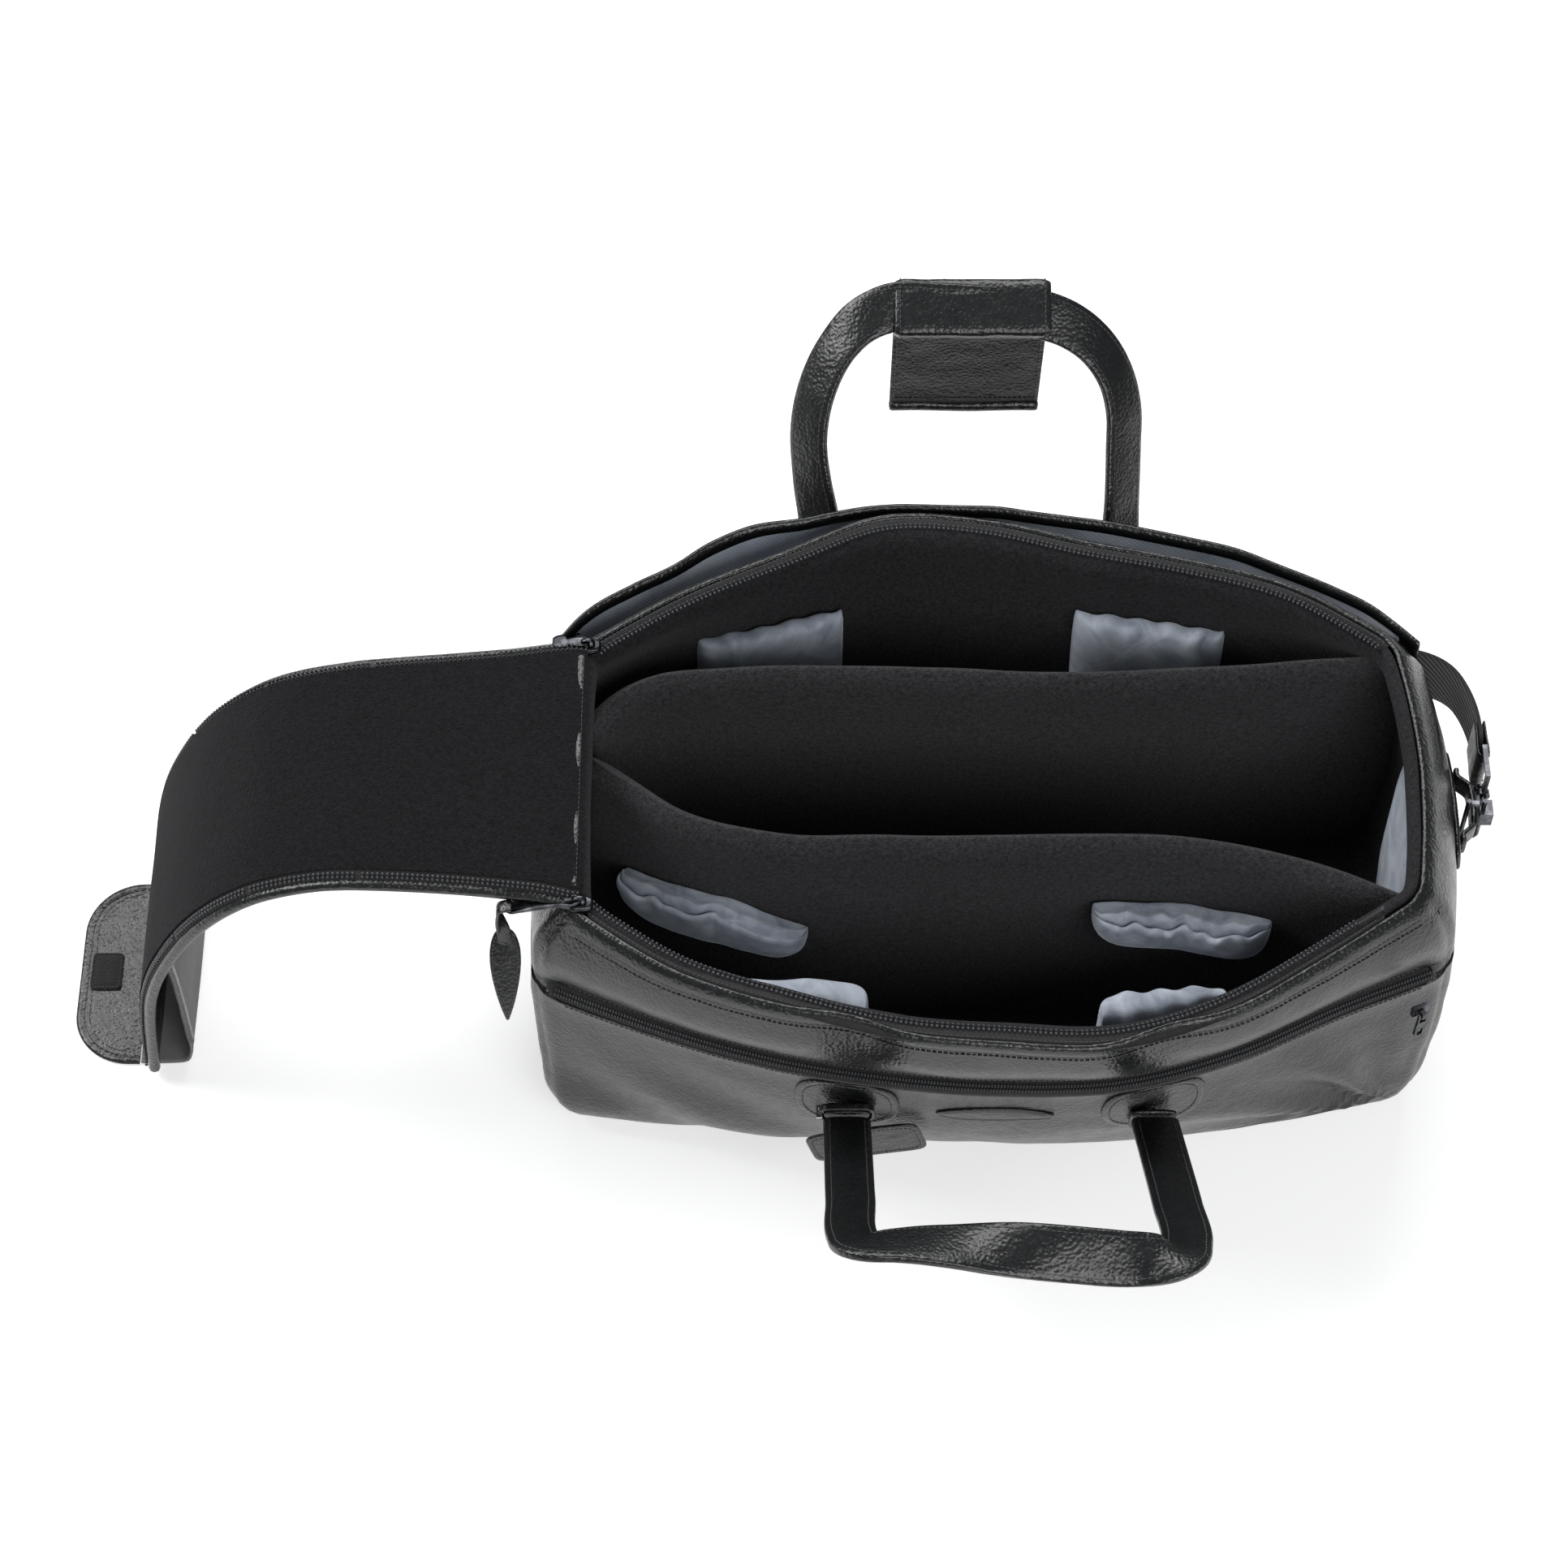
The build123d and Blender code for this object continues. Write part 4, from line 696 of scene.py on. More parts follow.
# ---- slip pocket ------------------------------------------------------------------------------
# A plain open pocket over the whole back: one panel of the leather, faced inside with blue-grey
# twill, sewn in at the corners and the bottom. Its lip is turned and stitched and stands open.
# X and Y of the open lip, from its left end to its right one.
SLIP_LIP = ((-277, 97), (-270, 107), (-258, 123), (-228, 146), (-201, 162), (-177, 180),
            (-152, 193), (-119, 199), (-95, 205), (-60, 210), (-28, 209), (5, 208), (29, 204),
            (76, 196), (127, 183), (153, 176), (182, 162), (213, 146), (234, 133), (250, 118),
            (264, 103))
SLIP_TOP, SLIP_SPREAD_FROM = 232.0, 165.0
SLIP_LIFT = 2.6                        # off the back wall, where the panel lies on it


def slip_row(z, count=150):
    """The panel's line at a height: along the back wall low down, and along its lip at the top."""
    wall = wall_line(REAR, z, count)
    along = unit(np.gradient(wall, axis=0))
    spread = max(0.0, (z - SLIP_SPREAD_FROM) / (SLIP_TOP - SLIP_SPREAD_FROM)) ** 1.25
    line = wall + SLIP_LIFT * np.stack([-along[:, 1], along[:, 0]], axis=1)
    line = line * (1 - spread) + line_through(SLIP_LIP, count) * spread
    for i in range(count):
        spot = Vector((line[i, 0], 40, z)) / 45.0
        inner = min(i, count - 1 - i) / 12.0
        line[i, 1] += 1.6 * max(0.0, noise.noise(spot)) * min(1, inner)
    return at_height(line, z)


rows = [slip_row(z) for z in (16, 22, 32, 44, 56, 68, 80, 92, 104, 116, 128, 140, 152, 164, 174,
                              184, 194, 203, 211, 218, 223, 226.5, 229.4)]
for lean, z in ((0.5, 231.4), (-0.2, 232.4), (-1.4, 232.2), (-2.2, 230.8), (-2.4, 226)):
    lip = slip_row(min(z, SLIP_TOP))
    lip[:, 1] += lean
    lip[:, 2] = z
    rows.append(lip)
slip_panel = sheet_of("slip_pocket_leather", rows[::-1])
finish_piece(slip_panel, leather, "bag", ("slip_pocket_panel",), thickness=1.4,
             offset=0)


def twill_finish(name, shade, pale, rib_mm):
    """Lining twill: close diagonal ribs with a slight sheen."""
    material = start_material(name)
    place = node(material, "ShaderNodeTexCoord").outputs["Object"]
    ribs = node(material, "ShaderNodeTexWave", {"wave_type": "BANDS", "bands_direction": "DIAGONAL",
                                                "Scale": 1000 / rib_mm / 6.3, "Distortion": 0.4},
                Vector=place)
    worn = node(material, "ShaderNodeTexNoise", {"Scale": 30.0, "Detail": 4.0}, Vector=place)
    tone = node(material, "ShaderNodeValToRGB",
                {"stops": ((0.3, linear(shade)), (0.7, linear(pale)))}, Fac=worn.outputs["Fac"])
    bump = node(material, "ShaderNodeBump", {"Strength": 0.5, "Distance": 0.3 * MM},
                Height=ribs.outputs["Fac"])
    shader = node(material, "ShaderNodeBsdfPrincipled",
                  {"Roughness": 0.7, "Specular IOR Level": 0.3, "Sheen Weight": 0.3},
                  Base_Color=tone.outputs["Color"], Normal=bump.outputs["Normal"])
    return finish_material(material, shader.outputs[0])


pocket_twill = twill_finish("blue_grey_lining_twill", "#8d97a6", "#b3bbc6", 0.9)
rows = []
for z in (60, 90, 120, 150, 164, 174, 184, 194, 203, 211, 218, 224, 227.5):
    row = slip_row(z, 120)
    row[:, 1] -= 0.9 if z < 200 else 1.1 + 1.6 * (z > 225)
    rows.append(row[3:-3])
slip_lining = sheet_of("slip_pocket_lining", rows)
finish_piece(slip_lining, pocket_twill, "bag", thickness=0.5)


# ---- rim and pocket stitching -----------------------------------------------------------------
# Bonded nylon thread, 0.8 mm, at about 3 mm a stitch. Each stitch is a short hump of its own that
# dips into the leather at both ends.
def finish_thread(name, colour):
    material = start_material(name)
    place = node(material, "ShaderNodeTexCoord").outputs["Object"]
    twist = node(material, "ShaderNodeTexWave", {"Scale": 420.0, "Distortion": 1.0}, Vector=place)
    bump = node(material, "ShaderNodeBump", {"Strength": 0.5, "Distance": 0.2 * MM},
                Height=twist.outputs["Fac"])
    shader = node(material, "ShaderNodeBsdfPrincipled",
                  {"Base Color": linear(colour), "Roughness": 0.45, "Specular IOR Level": 0.6},
                  Normal=bump.outputs["Normal"])
    return finish_material(material, shader.outputs[0])


thread = finish_thread("black_bonded_nylon_thread", "#3a3b3e")


def run_along(piece, line, pitch):
    """Repeats a small piece along a line in millimetres, as an array bent round a guide."""
    data = bpy.data.curves.new("guide", "CURVE")
    data.dimensions, data.twist_mode = "3D", "Z_UP"
    path = data.splines.new("POLY")
    path.points.add(len(line) - 1)
    path.points.foreach_set("co", np.concatenate([np.array(line) * MM, np.ones((len(line), 1))],
                                                 axis=1).reshape(-1))
    guide = bpy.data.objects.new("guide", data)
    bpy.context.collection.objects.link(guide)
    bpy.ops.object.select_all(action="DESELECT")
    piece.select_set(True)
    bpy.context.view_layer.objects.active = piece
    row = piece.modifiers.new("row", "ARRAY")
    row.use_relative_offset, row.use_constant_offset = False, True
    row.constant_offset_displace = (pitch * MM, 0, 0)
    row.fit_type, row.curve = "FIT_CURVE", guide
    bpy.ops.object.modifier_apply(modifier=row.name)
    follow = piece.modifiers.new("follow", "CURVE")
    follow.object = guide
    bpy.ops.object.modifier_apply(modifier=follow.name)
    bpy.data.objects.remove(guide)
    return piece


def stitches(name, line, body, pitch=3.3, length=2.5, thick=0.8):
    """A row of stitches along a line: one is modelled, with bevelled ends, and repeated."""
    bpy.ops.object.select_all(action="DESELECT")
    bpy.ops.mesh.primitive_cylinder_add(vertices=6, radius=thick / 2 * MM, depth=length * MM,
                                        location=(length / 2 * MM, 0, 0),
                                        rotation=(0, math.pi / 2, 0))
    bpy.ops.object.transform_apply(location=True, rotation=True, scale=True)
    piece = bpy.context.object
    piece.name = piece.data.name = name
    bpy.ops.object.mode_set(mode="EDIT")
    bpy.ops.mesh.select_all(action="SELECT")
    bpy.ops.mesh.bevel(offset=0.22 * thick * MM, segments=1)
    bpy.ops.object.mode_set(mode="OBJECT")
    bpy.ops.object.shade_smooth()
    run_along(piece, line, pitch)
    return finish_piece(piece, thread, body)


for z, tag in ((230.0, "upper"), (226.6, "lower")):
    stitches("rim_stitching_front_" + tag, shaped_skin(z, -0.35)[4:WALL_COUNT - 4], "bag")
for z, tag in ((ZIP_Z + 7.6, "above"), (ZIP_Z - 8.2, "below")):
    stitches("pocket_zip_stitching_" + tag, shaped_skin(z, -0.3)[6:WALL_COUNT - 6], "bag")
lip_seam = slip_row(227.0)
lip_seam[:, 1] += 0.95
stitches("slip_lip_stitching", lip_seam[3:-3], "bag")


# ---- mouth zip --------------------------------------------------------------------------------
# A coarse moulded zip: woven tape sewn under the turned rim, and black teeth at 2 mm clamped on
# its bead. The mouth is open, so the front and back rows stand apart, each on its own wall.
def tape_finish(name, colour, rib_mm):
    material = start_material(name)
    place = node(material, "ShaderNodeTexCoord").outputs["Object"]
    ribs = node(material, "ShaderNodeTexWave",
                {"bands_direction": "X", "Scale": 1000 / rib_mm / 6.3, "Distortion": 1.2,
                 "Detail": 1.0}, Vector=place)
    lint = node(material, "ShaderNodeTexNoise", {"Scale": 260.0, "Detail": 3.0}, Vector=place)
    fuzz = [min(1, c * 1.7) for c in linear(colour)[:3]] + [1]
    tone = node(material, "ShaderNodeValToRGB", {"stops": ((0.35, linear(colour)), (0.8, fuzz))},
                Fac=lint.outputs["Fac"])
    bump = node(material, "ShaderNodeBump", {"Strength": 0.6, "Distance": 0.3 * MM},
                Height=ribs.outputs["Fac"])
    shader = node(material, "ShaderNodeBsdfPrincipled",
                  {"Roughness": 0.8, "Specular IOR Level": 0.25, "Sheen Weight": 0.25},
                  Base_Color=tone.outputs["Color"], Normal=bump.outputs["Normal"])
    return finish_material(material, shader.outputs[0])


zip_tape = tape_finish("woven_polyester_zip_tape", "#202021", 0.8)


def moulded_finish(name, colour, roughness):
    """Moulded acetal: smooth, a little waxy, with small scuffs."""
    material = start_material(name)
    place = node(material, "ShaderNodeTexCoord").outputs["Object"]
    scuffs = node(material, "ShaderNodeTexNoise", {"Scale": 900.0, "Detail": 3.0}, Vector=place)
    gloss = node(material, "ShaderNodeMapRange",
                 {"To Min": roughness - 0.08, "To Max": roughness + 0.12},
                 Value=scuffs.outputs["Fac"])
    shader = node(material, "ShaderNodeBsdfPrincipled", {"Base Color": linear(colour)},
                  Roughness=gloss.outputs["Result"])
    return finish_material(material, shader.outputs[0])


acetal = moulded_finish("moulded_black_acetal", "#37383b", 0.17)


def flat_band(name, line, across, width, thick, power=0.4, around=16, crown=0.0):
    """A strap, tape or bead: a rounded section swept along a line, its width lying across."""
    line, across = np.array(line, float), np.array(across, float)
    if across.ndim == 1:
        across = np.tile(across, (len(line), 1))
    along = unit(np.gradient(line, axis=0))
    across = unit(across - (across * along).sum(axis=1)[:, None] * along)
    up = np.cross(along, across)
    section = band_section(around, 1.0, 1.0, power)
    widths = np.full(len(line), float(width)) if np.isscalar(width) else np.array(width, float)
    thicks = np.full(len(line), float(thick)) if np.isscalar(thick) else np.array(thick, float)
    bulge = 1 + crown * (1 - (2 * section[:, 0]) ** 2)
    places = (line[:, None] + across[:, None] * (section[:, 0] * widths[:, None])[..., None]
              + up[:, None] * (section[:, 1] * bulge * thicks[:, None])[..., None])
    return sheet_of(name, places, closed=True, capped=True)


def teeth(name, line, body, pitch=3.0, long=1.9, wide=4.2, high=2.6, upright=False):
    """One row of moulded teeth along a line, repeated: each has a head and a shoulder, rounded."""
    bpy.ops.object.select_all(action="DESELECT")
    lumps = []
    # The head, then the shoulder: its share of the width, its middle and its share of the height.
    for share, middle, tall in ((0.5, -0.25, 1.0), (0.38, 0.31, 0.8)):
        bpy.ops.mesh.primitive_cube_add(size=1.0)
        lump = bpy.context.object
        size = (long, wide * share, high * tall)
        place = (long / 2, wide * middle, 0.0)
        if upright:
            size, place = (size[0], size[2], size[1]), (place[0], 0.0, place[1])
        lump.scale = [a * MM for a in size]
        lump.location = [a * MM for a in place]
        bpy.ops.object.transform_apply(location=True, rotation=True, scale=True)
        lumps.append(lump)
    piece = lumps[0]
    piece.select_set(True)
    bpy.context.view_layer.objects.active = piece
    bpy.ops.object.join()
    piece.name = piece.data.name = name
    bpy.ops.object.mode_set(mode="EDIT")
    bpy.ops.mesh.select_all(action="SELECT")
    bpy.ops.mesh.bevel(offset=0.3 * long * MM, segments=1)
    bpy.ops.object.mode_set(mode="OBJECT")
    bpy.ops.object.shade_smooth()
    run_along(piece, line, pitch)
    return finish_piece(piece, acetal, body)


def mouth_line(side, inset, z, first, last):
    """The mouth's plan at an inset from the leather, between two X places."""
    loop = body_loop(MOUTH_Z, inset=inset)
    part = loop[:WALL_COUNT] if side == FRONT else loop[WALL_COUNT + END_COUNT:END_OF_LOOP]
    part = part[(part[:, 0] > first) & (part[:, 0] < last)]
    if side == REAR:
        part = part[::-1]
    return at_height(part, z)


for side, last, word in ((FRONT, 207, "front"), (REAR, 249, "rear")):
    outer = mouth_line(side, -0.3, 237.4, -249, last + 18)
    inner = mouth_line(side, 9.9, 239.9, -249, last + 18)
    count = min(len(outer), len(inner))
    outer, inner = line_through(outer, count), line_through(inner, count)
    tape = sheet_of("mouth_tape_" + word, np.stack([outer, (outer * 0.5 + inner * 0.5), inner],
                                                   axis=1))
    finish_piece(tape, zip_tape, "bag", (word + "_mouth_zip",), thickness=0.9, offset=0)
    teeth("mouth_teeth_" + word, mouth_line(side, 10.4, 240.6, -246, last), "bag")
    under = mouth_line(side, 4.6, 240.3, -247, last + 14)
    stitches("mouth_tape_stitching_" + word, under, "bag", pitch=3.0, length=2.2, thick=0.7)


# ---- outside pocket zip -----------------------------------------------------------------------
# A finer zip let into the slot across the front: twill tape above and below, two rows of 1.5 mm
# teeth that mesh, and a slider near the right corner with a bail and a hanging pull.
TAPE_SLOPE = 0.62                      # the tape leans as it bridges from the pocket to the band


def slot_line(z, out, first=-276, last=266):
    """The slot's line at a height, standing out from the skin, between two X places."""
    row = shaped_skin(ZIP_Z, -out)[:WALL_COUNT]
    row = row[(row[:, 0] > first) & (row[:, 0] < last)]
    row = line_through(row, 220)
    row[:, 2] = z
    return row


tape = sheet_of("pocket_zip_tape", np.stack([slot_line(ZIP_Z + rise, -1.2 - TAPE_SLOPE * rise)
                                             for rise in (-6.2, -3.1, 0.0, 3.1, 6.2)]))
finish_piece(tape, zip_tape, "bag", ("pocket_zip",), thickness=0.8, offset=0)
for rise, start, word in ((1.35, 0.0, "upper"), (-1.35, 0.95, "lower")):
    line = slot_line(ZIP_Z + rise, 0.3 - TAPE_SLOPE * rise, ZIP_FIRST + start, ZIP_LAST)
    teeth("pocket_teeth_" + word, line, "bag", pitch=1.9, long=1.2, wide=2.6, high=1.8,
          upright=True)


# ---- lid --------------------------------------------------------------------------------------
# One long flap of the leather, lined with foam and pile, with half of the zip sewn down each long
# edge. Folded out over the left end, it lies level, rounds over and hangs to the floor.
# X and Z of the lid's middle, from its root to its free end.
LID_PATH = ((-251.5, 248.0), (-262, 250.4), (-300, 251.2), (-340, 251.0), (-370, 250.2),
            (-394, 248.6), (-412, 245.4), (-430, 240.2), (-450, 231.2), (-470, 216.6),
            (-488, 198.0), (-503, 176.5), (-516, 152.0), (-527, 126.0), (-534.5, 100.0),
            (-539, 72.0), (-542, 44.0), (-544, 22.0), (-545, 9.5))
LID_PILE, LID_LEATHER = 8.0, 2.0
# X and Z of each bend of the path, at the seam between two stiff lengths.
LID_BENDS = ((-406, 241), (-469.95, 212.5), (-515.5, 154.2))
LID_STATIONS = 132                     # places along the path


def lid_half_width(x, z):
    """Half the pile's width between its two zips: full at the root and narrower to the end."""
    down = max(0.0, -x - 258)
    hang = min(1.0, max(0, 200 - z) / 180)
    return 76.5 + 9.0 * math.exp(-down / 55) - 6.0 * min(1.0, down / 150) - 2.5 * hang


lid_line = line_through(LID_PATH, LID_STATIONS)
lid_along = unit(np.gradient(lid_line, axis=0))
lid_up = np.stack([lid_along[:, 1], -lid_along[:, 0]], axis=1)   # to the pile side
lid_up *= np.sign(lid_up[10, 1])
# Each length after the first starts just before a bend.
BEND_REACH = 7
lid_seams = [int(np.argmin(np.hypot(*(lid_line - seam).T))) for seam in LID_BENDS]
LID_CUTS = (0, *(at - BEND_REACH for at in lid_seams), LID_STATIONS - 1)


def lid_row(i, offsets):
    """One row across the lid: (across, lift) pairs in millimetres at a station on its path."""
    x, z = lid_line[i]
    half = lid_half_width(x, z)
    row = []
    for share, beyond, lift in offsets:
        y = share * half + beyond
        spot = Vector((x, y, z)) / 40.0
        lift = lift + 0.7 * noise.noise(spot) * (abs(share) < 0.99)
        row.append((x + lid_up[i][0] * lift, y, z + lid_up[i][1] * lift))
    return row


def ride_lid(piece, k):
    """The first length is stiff, fixed to the lid's first body. The others are baked where they lie
    and fixed to no body.
    """
    if k == 0:
        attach(piece, "lid_1")
        return piece
    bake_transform(piece)
    return piece


def lid_strip(name, k, across, material, replaced, thickness, offset=-1.0, flipped=False):
    """A strip of one length of the lid: the same offsets across it, at each of its stations."""
    places = np.array([lid_row(i, across) for i in range(LID_CUTS[k], LID_CUTS[k + 1] + 1)])
    piece = sheet_of("%s_%d" % (name, k + 1), places[:, ::-1] if flipped else places)
    finish_piece(piece, material, None, replaced, thickness=thickness, offset=offset,
                 sharp=50)
    return ride_lid(piece, k)


# The lid's pile lies flat to the light and keeps its nap; it is a darker copy of the same pile,
# painted shade, so it shows nearly black.
lid_pile_painted_shade = pile_finish("black_knitted_pile_lid_painted_shade", "#0e0e0f", "#1f1f21", 1.1)
pile_across = [(s, 0.0, -0.5 * abs(s) ** 6) for s in np.linspace(-1, 1, 33)]
skin_across = [(s, b, -LID_PILE - 0.2) for s, b in
               [(-1, -6.2), (-1, -2)] + [(s, 0) for s in np.linspace(-0.96, 0.96, 31)]
               + [(1, 2), (1, 6.2)]]
# Each side's offsets: how far beyond the pile's edge, and how high.
TAPE_ACROSS = ((-1.0, -2.2), (2.2, -3.0), (5.6, -5.2), (7.2, -7.0))
HEM_ACROSS = ((5.8, -6.0), (7.6, -5.4), (9.0, -6.4), (9.4, -8.2), (8.6, -9.9), (6.6, -10.4),
              (4.0, -10.0))
for k in range(len(LID_CUTS) - 1):
    pile = lid_strip("lid_pile_painted_shade", k, pile_across, lid_pile_painted_shade,
                     ("lid_lining_%d" % (k + 1),), LID_PILE - 0.6)
    lid_strip("lid_leather", k, skin_across, leather,
              ("lid_skin_%d" % (k + 1),), LID_LEATHER)
    run = range(LID_CUTS[k] + (k > 0), LID_CUTS[k + 1] + 1)
    for side, word in ((-1, "front"), (1, "rear")):
        edge = [(side, side * b, lift) for b, lift in TAPE_ACROSS]
        lid_strip("lid_tape_" + word, k, edge, zip_tape,
                  ("lid_zip_%d" % (k + 1),) if side < 0 else (), 0.8, offset=0)
        hem = [(side, side * b, lift) for b, lift in HEM_ACROSS]
        lid_strip("lid_rolled_edge_" + word, k, hem, leather, (), 1.2,
                  flipped=side > 0)
        chain = np.array([lid_row(i, [(side, side * 3.6, -2.4)])[0] for i in run])
        ride_lid(teeth("lid_teeth_%s_%d" % (word, k + 1), chain, None), k)
        seam = np.array([lid_row(i, [(side, side * 7.4, -4.9)])[0] for i in run])
        ride_lid(stitches("lid_edge_stitching_%s_%d" % (word, k + 1), seam, None, thick=0.9), k)

# The root: the two edges of leather are lapped and sewn across the fold.
fold_rows = []
for t in np.linspace(0, 1, 9):
    a = math.pi * (0.15 + 0.8 * t)
    fold_rows.append([(-256.0 + 4.6 * math.cos(a), y,
                       244.6 + 4.4 * math.sin(a) + 0.4 * math.sin(y / 9.0))
                      for y in np.linspace(-84, 84, 61)])
fold = sheet_of("lid_fold_leather", fold_rows)
finish_piece(fold, leather, "bag", ("lid_fold",), thickness=1.2)
seam = np.array([(-254.0, y, 248.9) for y in np.linspace(-80, 80, 60)])
stitches("lid_fold_stitching", seam, "bag")


# ---- pocket and tongue at the lid's end -------------------------------------------------------
# Behind the free end is a plain leather pocket, flesh side in, that stands on the floor. Its
# closing tongue lies out: two leathers, double stitched, with a rolled lip where it is turned.
flesh = leather_finish("grey_flesh_side_leather", "#6d6c6b", 0.8, 0.9, 0.3)
TONGUE_ROOT, TONGUE_TIP, TONGUE_HALF, TONGUE_RADIUS = -548.6, -593.0, 68.0, 37.0
POCKET_HALF, POCKET_TOP = 67.5, 148
# The wall leans from the lid's seam to the floor and runs back under the lid's end.
wall_path = line_through(((-516.2, 147.5), (-513.6, 120), (-512.6, 80), (-512.8, 40), (-513.4, 14),
                          (-517.5, 4.0), (-528, 1.9), (-547.5, 1.7)), 46)
rows = []
for x, z in wall_path:
    row = []
    for y in np.linspace(-POCKET_HALF, POCKET_HALF, 61):
        share = 1 - (y / POCKET_HALF) ** 2
        hang = max(0.0, min(1.0, z / 40)) * max(0.0, min(1.0, (POCKET_TOP - z) / 50))
        ripple = 1.1 * noise.noise(Vector((x, y, z)) / 24.0) * hang
        row.append((x + share * hang - abs(ripple) * 0.6, y, max(z, 1.5)))
    rows.append(row)
pocket_wall = sheet_of("end_pocket_leather", rows)
finish_piece(pocket_wall, flesh, "lid_4", ("end_pocket",), thickness=1.7,
             offset=0.0)
for side, word in ((-1, "front"), (1, "rear")):
    line = [(x + 1.2, side * (POCKET_HALF - 1.5), z) for x, z in wall_path[1:32]]
    hem = flat_band("end_pocket_hem_" + word, line, (0, 1, 0), 5.0, 3.4)
    finish_piece(hem, leather, "lid_4", levels=1)


def tongue_outline(inset, count=90):
    """The tongue's edge from its root at the back, round its two rounded corners, to its root at
    the front, drawn in by inset."""
    half, tip, radius = TONGUE_HALF - inset, TONGUE_TIP + inset, TONGUE_RADIUS - inset
    corner = [(tip + radius - radius * math.sin(a), radius * math.cos(a) + half - radius)
              for a in np.linspace(0, math.pi / 2, 24)]
    side = [(TONGUE_ROOT, half)] + corner
    return evenly(side + [(x, -y) for x, y in side[::-1]], count)


rows = []
for inset, z in ((0.0, 0.35), (-0.2, 1.2), (0.3, 2.2), (1.6, 2.7), (4.2, 2.6), (5.2, 2.1),
                 (7.0, 2.15), (10, 2.4), (16, 2.35), (24, 2.4), (30, 2.4)):
    outline = tongue_outline(inset)
    rows.append([(x, y, z + (0.25 * noise.noise(Vector((x, y, 0)) / 12.0) if inset > 5 else 0))
                 for x, y in outline])
rows.append([(TONGUE_ROOT - 3, y, 2.4) for y in np.linspace(30, -30, 90)])
bottom = [[(x, y, 0.3) for x, y in tongue_outline(inset)] for inset in (20, 6, 1)]
tongue_piece = sheet_of("tongue_leather", bottom + rows)
finish_piece(tongue_piece, leather, "tongue", ("tongue",))
for inset, word in ((5.2, "outer"), (8.6, "inner")):
    line = at_height(tongue_outline(inset, 120)[6:-6], 2.35)
    stitches("tongue_stitching_" + word, line, "tongue", pitch=3.4, length=2.6)

# The lip stands where the tongue is folded out from the lid's end.
lip_line = [(-544.4, y, 4.8 + 0.8 * math.sin(y / 21.0)) for y in np.linspace(-67, 67, 60)]
lip = flat_band("tongue_rolled_lip", lip_line, (1, 0, 0), 4.4, 3.6, power=0.8)
finish_piece(lip, flesh, "lid_4", levels=1)


# Hook-and-loop: a black woven patch of hooks on the tongue, and loops on the pocket's edge.
def hook_finish(name, colour, pitch_mm):
    """Woven nylon tape set with hooks, which gives a dull, dotted face."""
    material = start_material(name)
    place = node(material, "ShaderNodeTexCoord").outputs["Object"]
    dots = node(material, "ShaderNodeTexVoronoi", {"Scale": 1000.0 / pitch_mm}, Vector=place)
    bump = node(material, "ShaderNodeBump", {"Strength": 1.0, "Distance": 0.6 * MM},
                Height=dots.outputs["Distance"])
    shader = node(material, "ShaderNodeBsdfPrincipled",
                  {"Base Color": linear(colour), "Roughness": 0.75, "Specular IOR Level": 0.3,
                   "Sheen Weight": 0.3}, Normal=bump.outputs["Normal"])
    return finish_material(material, shader.outputs[0])


hooks = hook_finish("black_hook_and_loop", "#101011", 1.4)


def squared(value, power):
    """A cosine or sine drawn out towards the corner of a square."""
    return math.copysign(abs(value) ** power, value)


def soft_box(half_wide, half_high, power, count, closed=False):
    """Places round a box with soft corners, from its middle. A closed one ends where it began."""
    return [(squared(math.cos(a), power) * half_wide, squared(math.sin(a), power) * half_high)
            for a in np.linspace(0, 2 * math.pi, count, endpoint=closed)]


def sewn_patch(name, corner_x, corner_y, size_x, size_y, base, high, body, replaced=()):
    """A small rounded patch with a sewn edge."""
    rows = []
    cx, cy = corner_x + size_x / 2, corner_y + size_y / 2
    for inset, z in ((0, 0), (0, high * 0.7), (0.5, high), (1.6, high), (2.0, high * 0.8),
                     (2.6, high), (6, high)):
        rows.append([(cx + x, cy + y, base + z)
                     for x, y in soft_box(size_x / 2 - inset, size_y / 2 - inset, 0.22, 72)])
    piece = sheet_of(name, rows, closed=True, capped=True)
    return finish_piece(piece, hooks, body, replaced)


sewn_patch("tongue_hook_patch", -586.2, -13.8, 20.6, 27.6, 2.5, 1.6, "tongue", ("tongue_patch",))
sewn_patch("pocket_loop_strip", -527.0, -20.0, 10.0, 36.0, 2.7, 1.4, "lid_4")


# ---- carrying handles -------------------------------------------------------------------------
# Two padded leather straps, edges turned and sewn through 4 mm in, doubled back on themselves at
# the patches. They stand by their own stiffness, and the front grip rolls over to face upwards.
PIVOT_Z = 128.0
FRONT_PIVOT = (0.0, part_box("front_handle")[1][1] / MM - 3.0)
REAR_PIVOT = (-10.0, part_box("rear_handle")[0][1] / MM + 3.0)
STRAP_WIDE, STRAP_THICK = 29.0, 6.0
HANDLE_STEPS = 190
FRONT_LEAN, REAR_LEAN = 41.0, 49.0     # degrees above the level


def strap_with_seams(name, line, across, width, material, body, replaced):
    """A padded strap and the two rows of stitches on each face."""
    line, across = np.array(line, float), np.array(across, float)
    strap = flat_band(name, line, across, width, STRAP_THICK, power=0.42, around=28, crown=0.25)
    finish_piece(strap, material, body, replaced, levels=1)
    along = unit(np.gradient(line, axis=0))
    side = unit(across - (across * along).sum(axis=1)[:, None] * along)
    up = np.cross(along, side)
    for face, tag in ((1, "top"), (-1, "under")):
        for edge, word in ((1, "a"), (-1, "b")):
            offset = side * (edge * (width / 2 - 4.0))[:, None]
            offset = offset + up * (face * STRAP_THICK / 2 * 1.06)
            stitches("%s_thread_%s_%s" % (name, tag, word), (line + offset)[2:-2], body)
    return strap


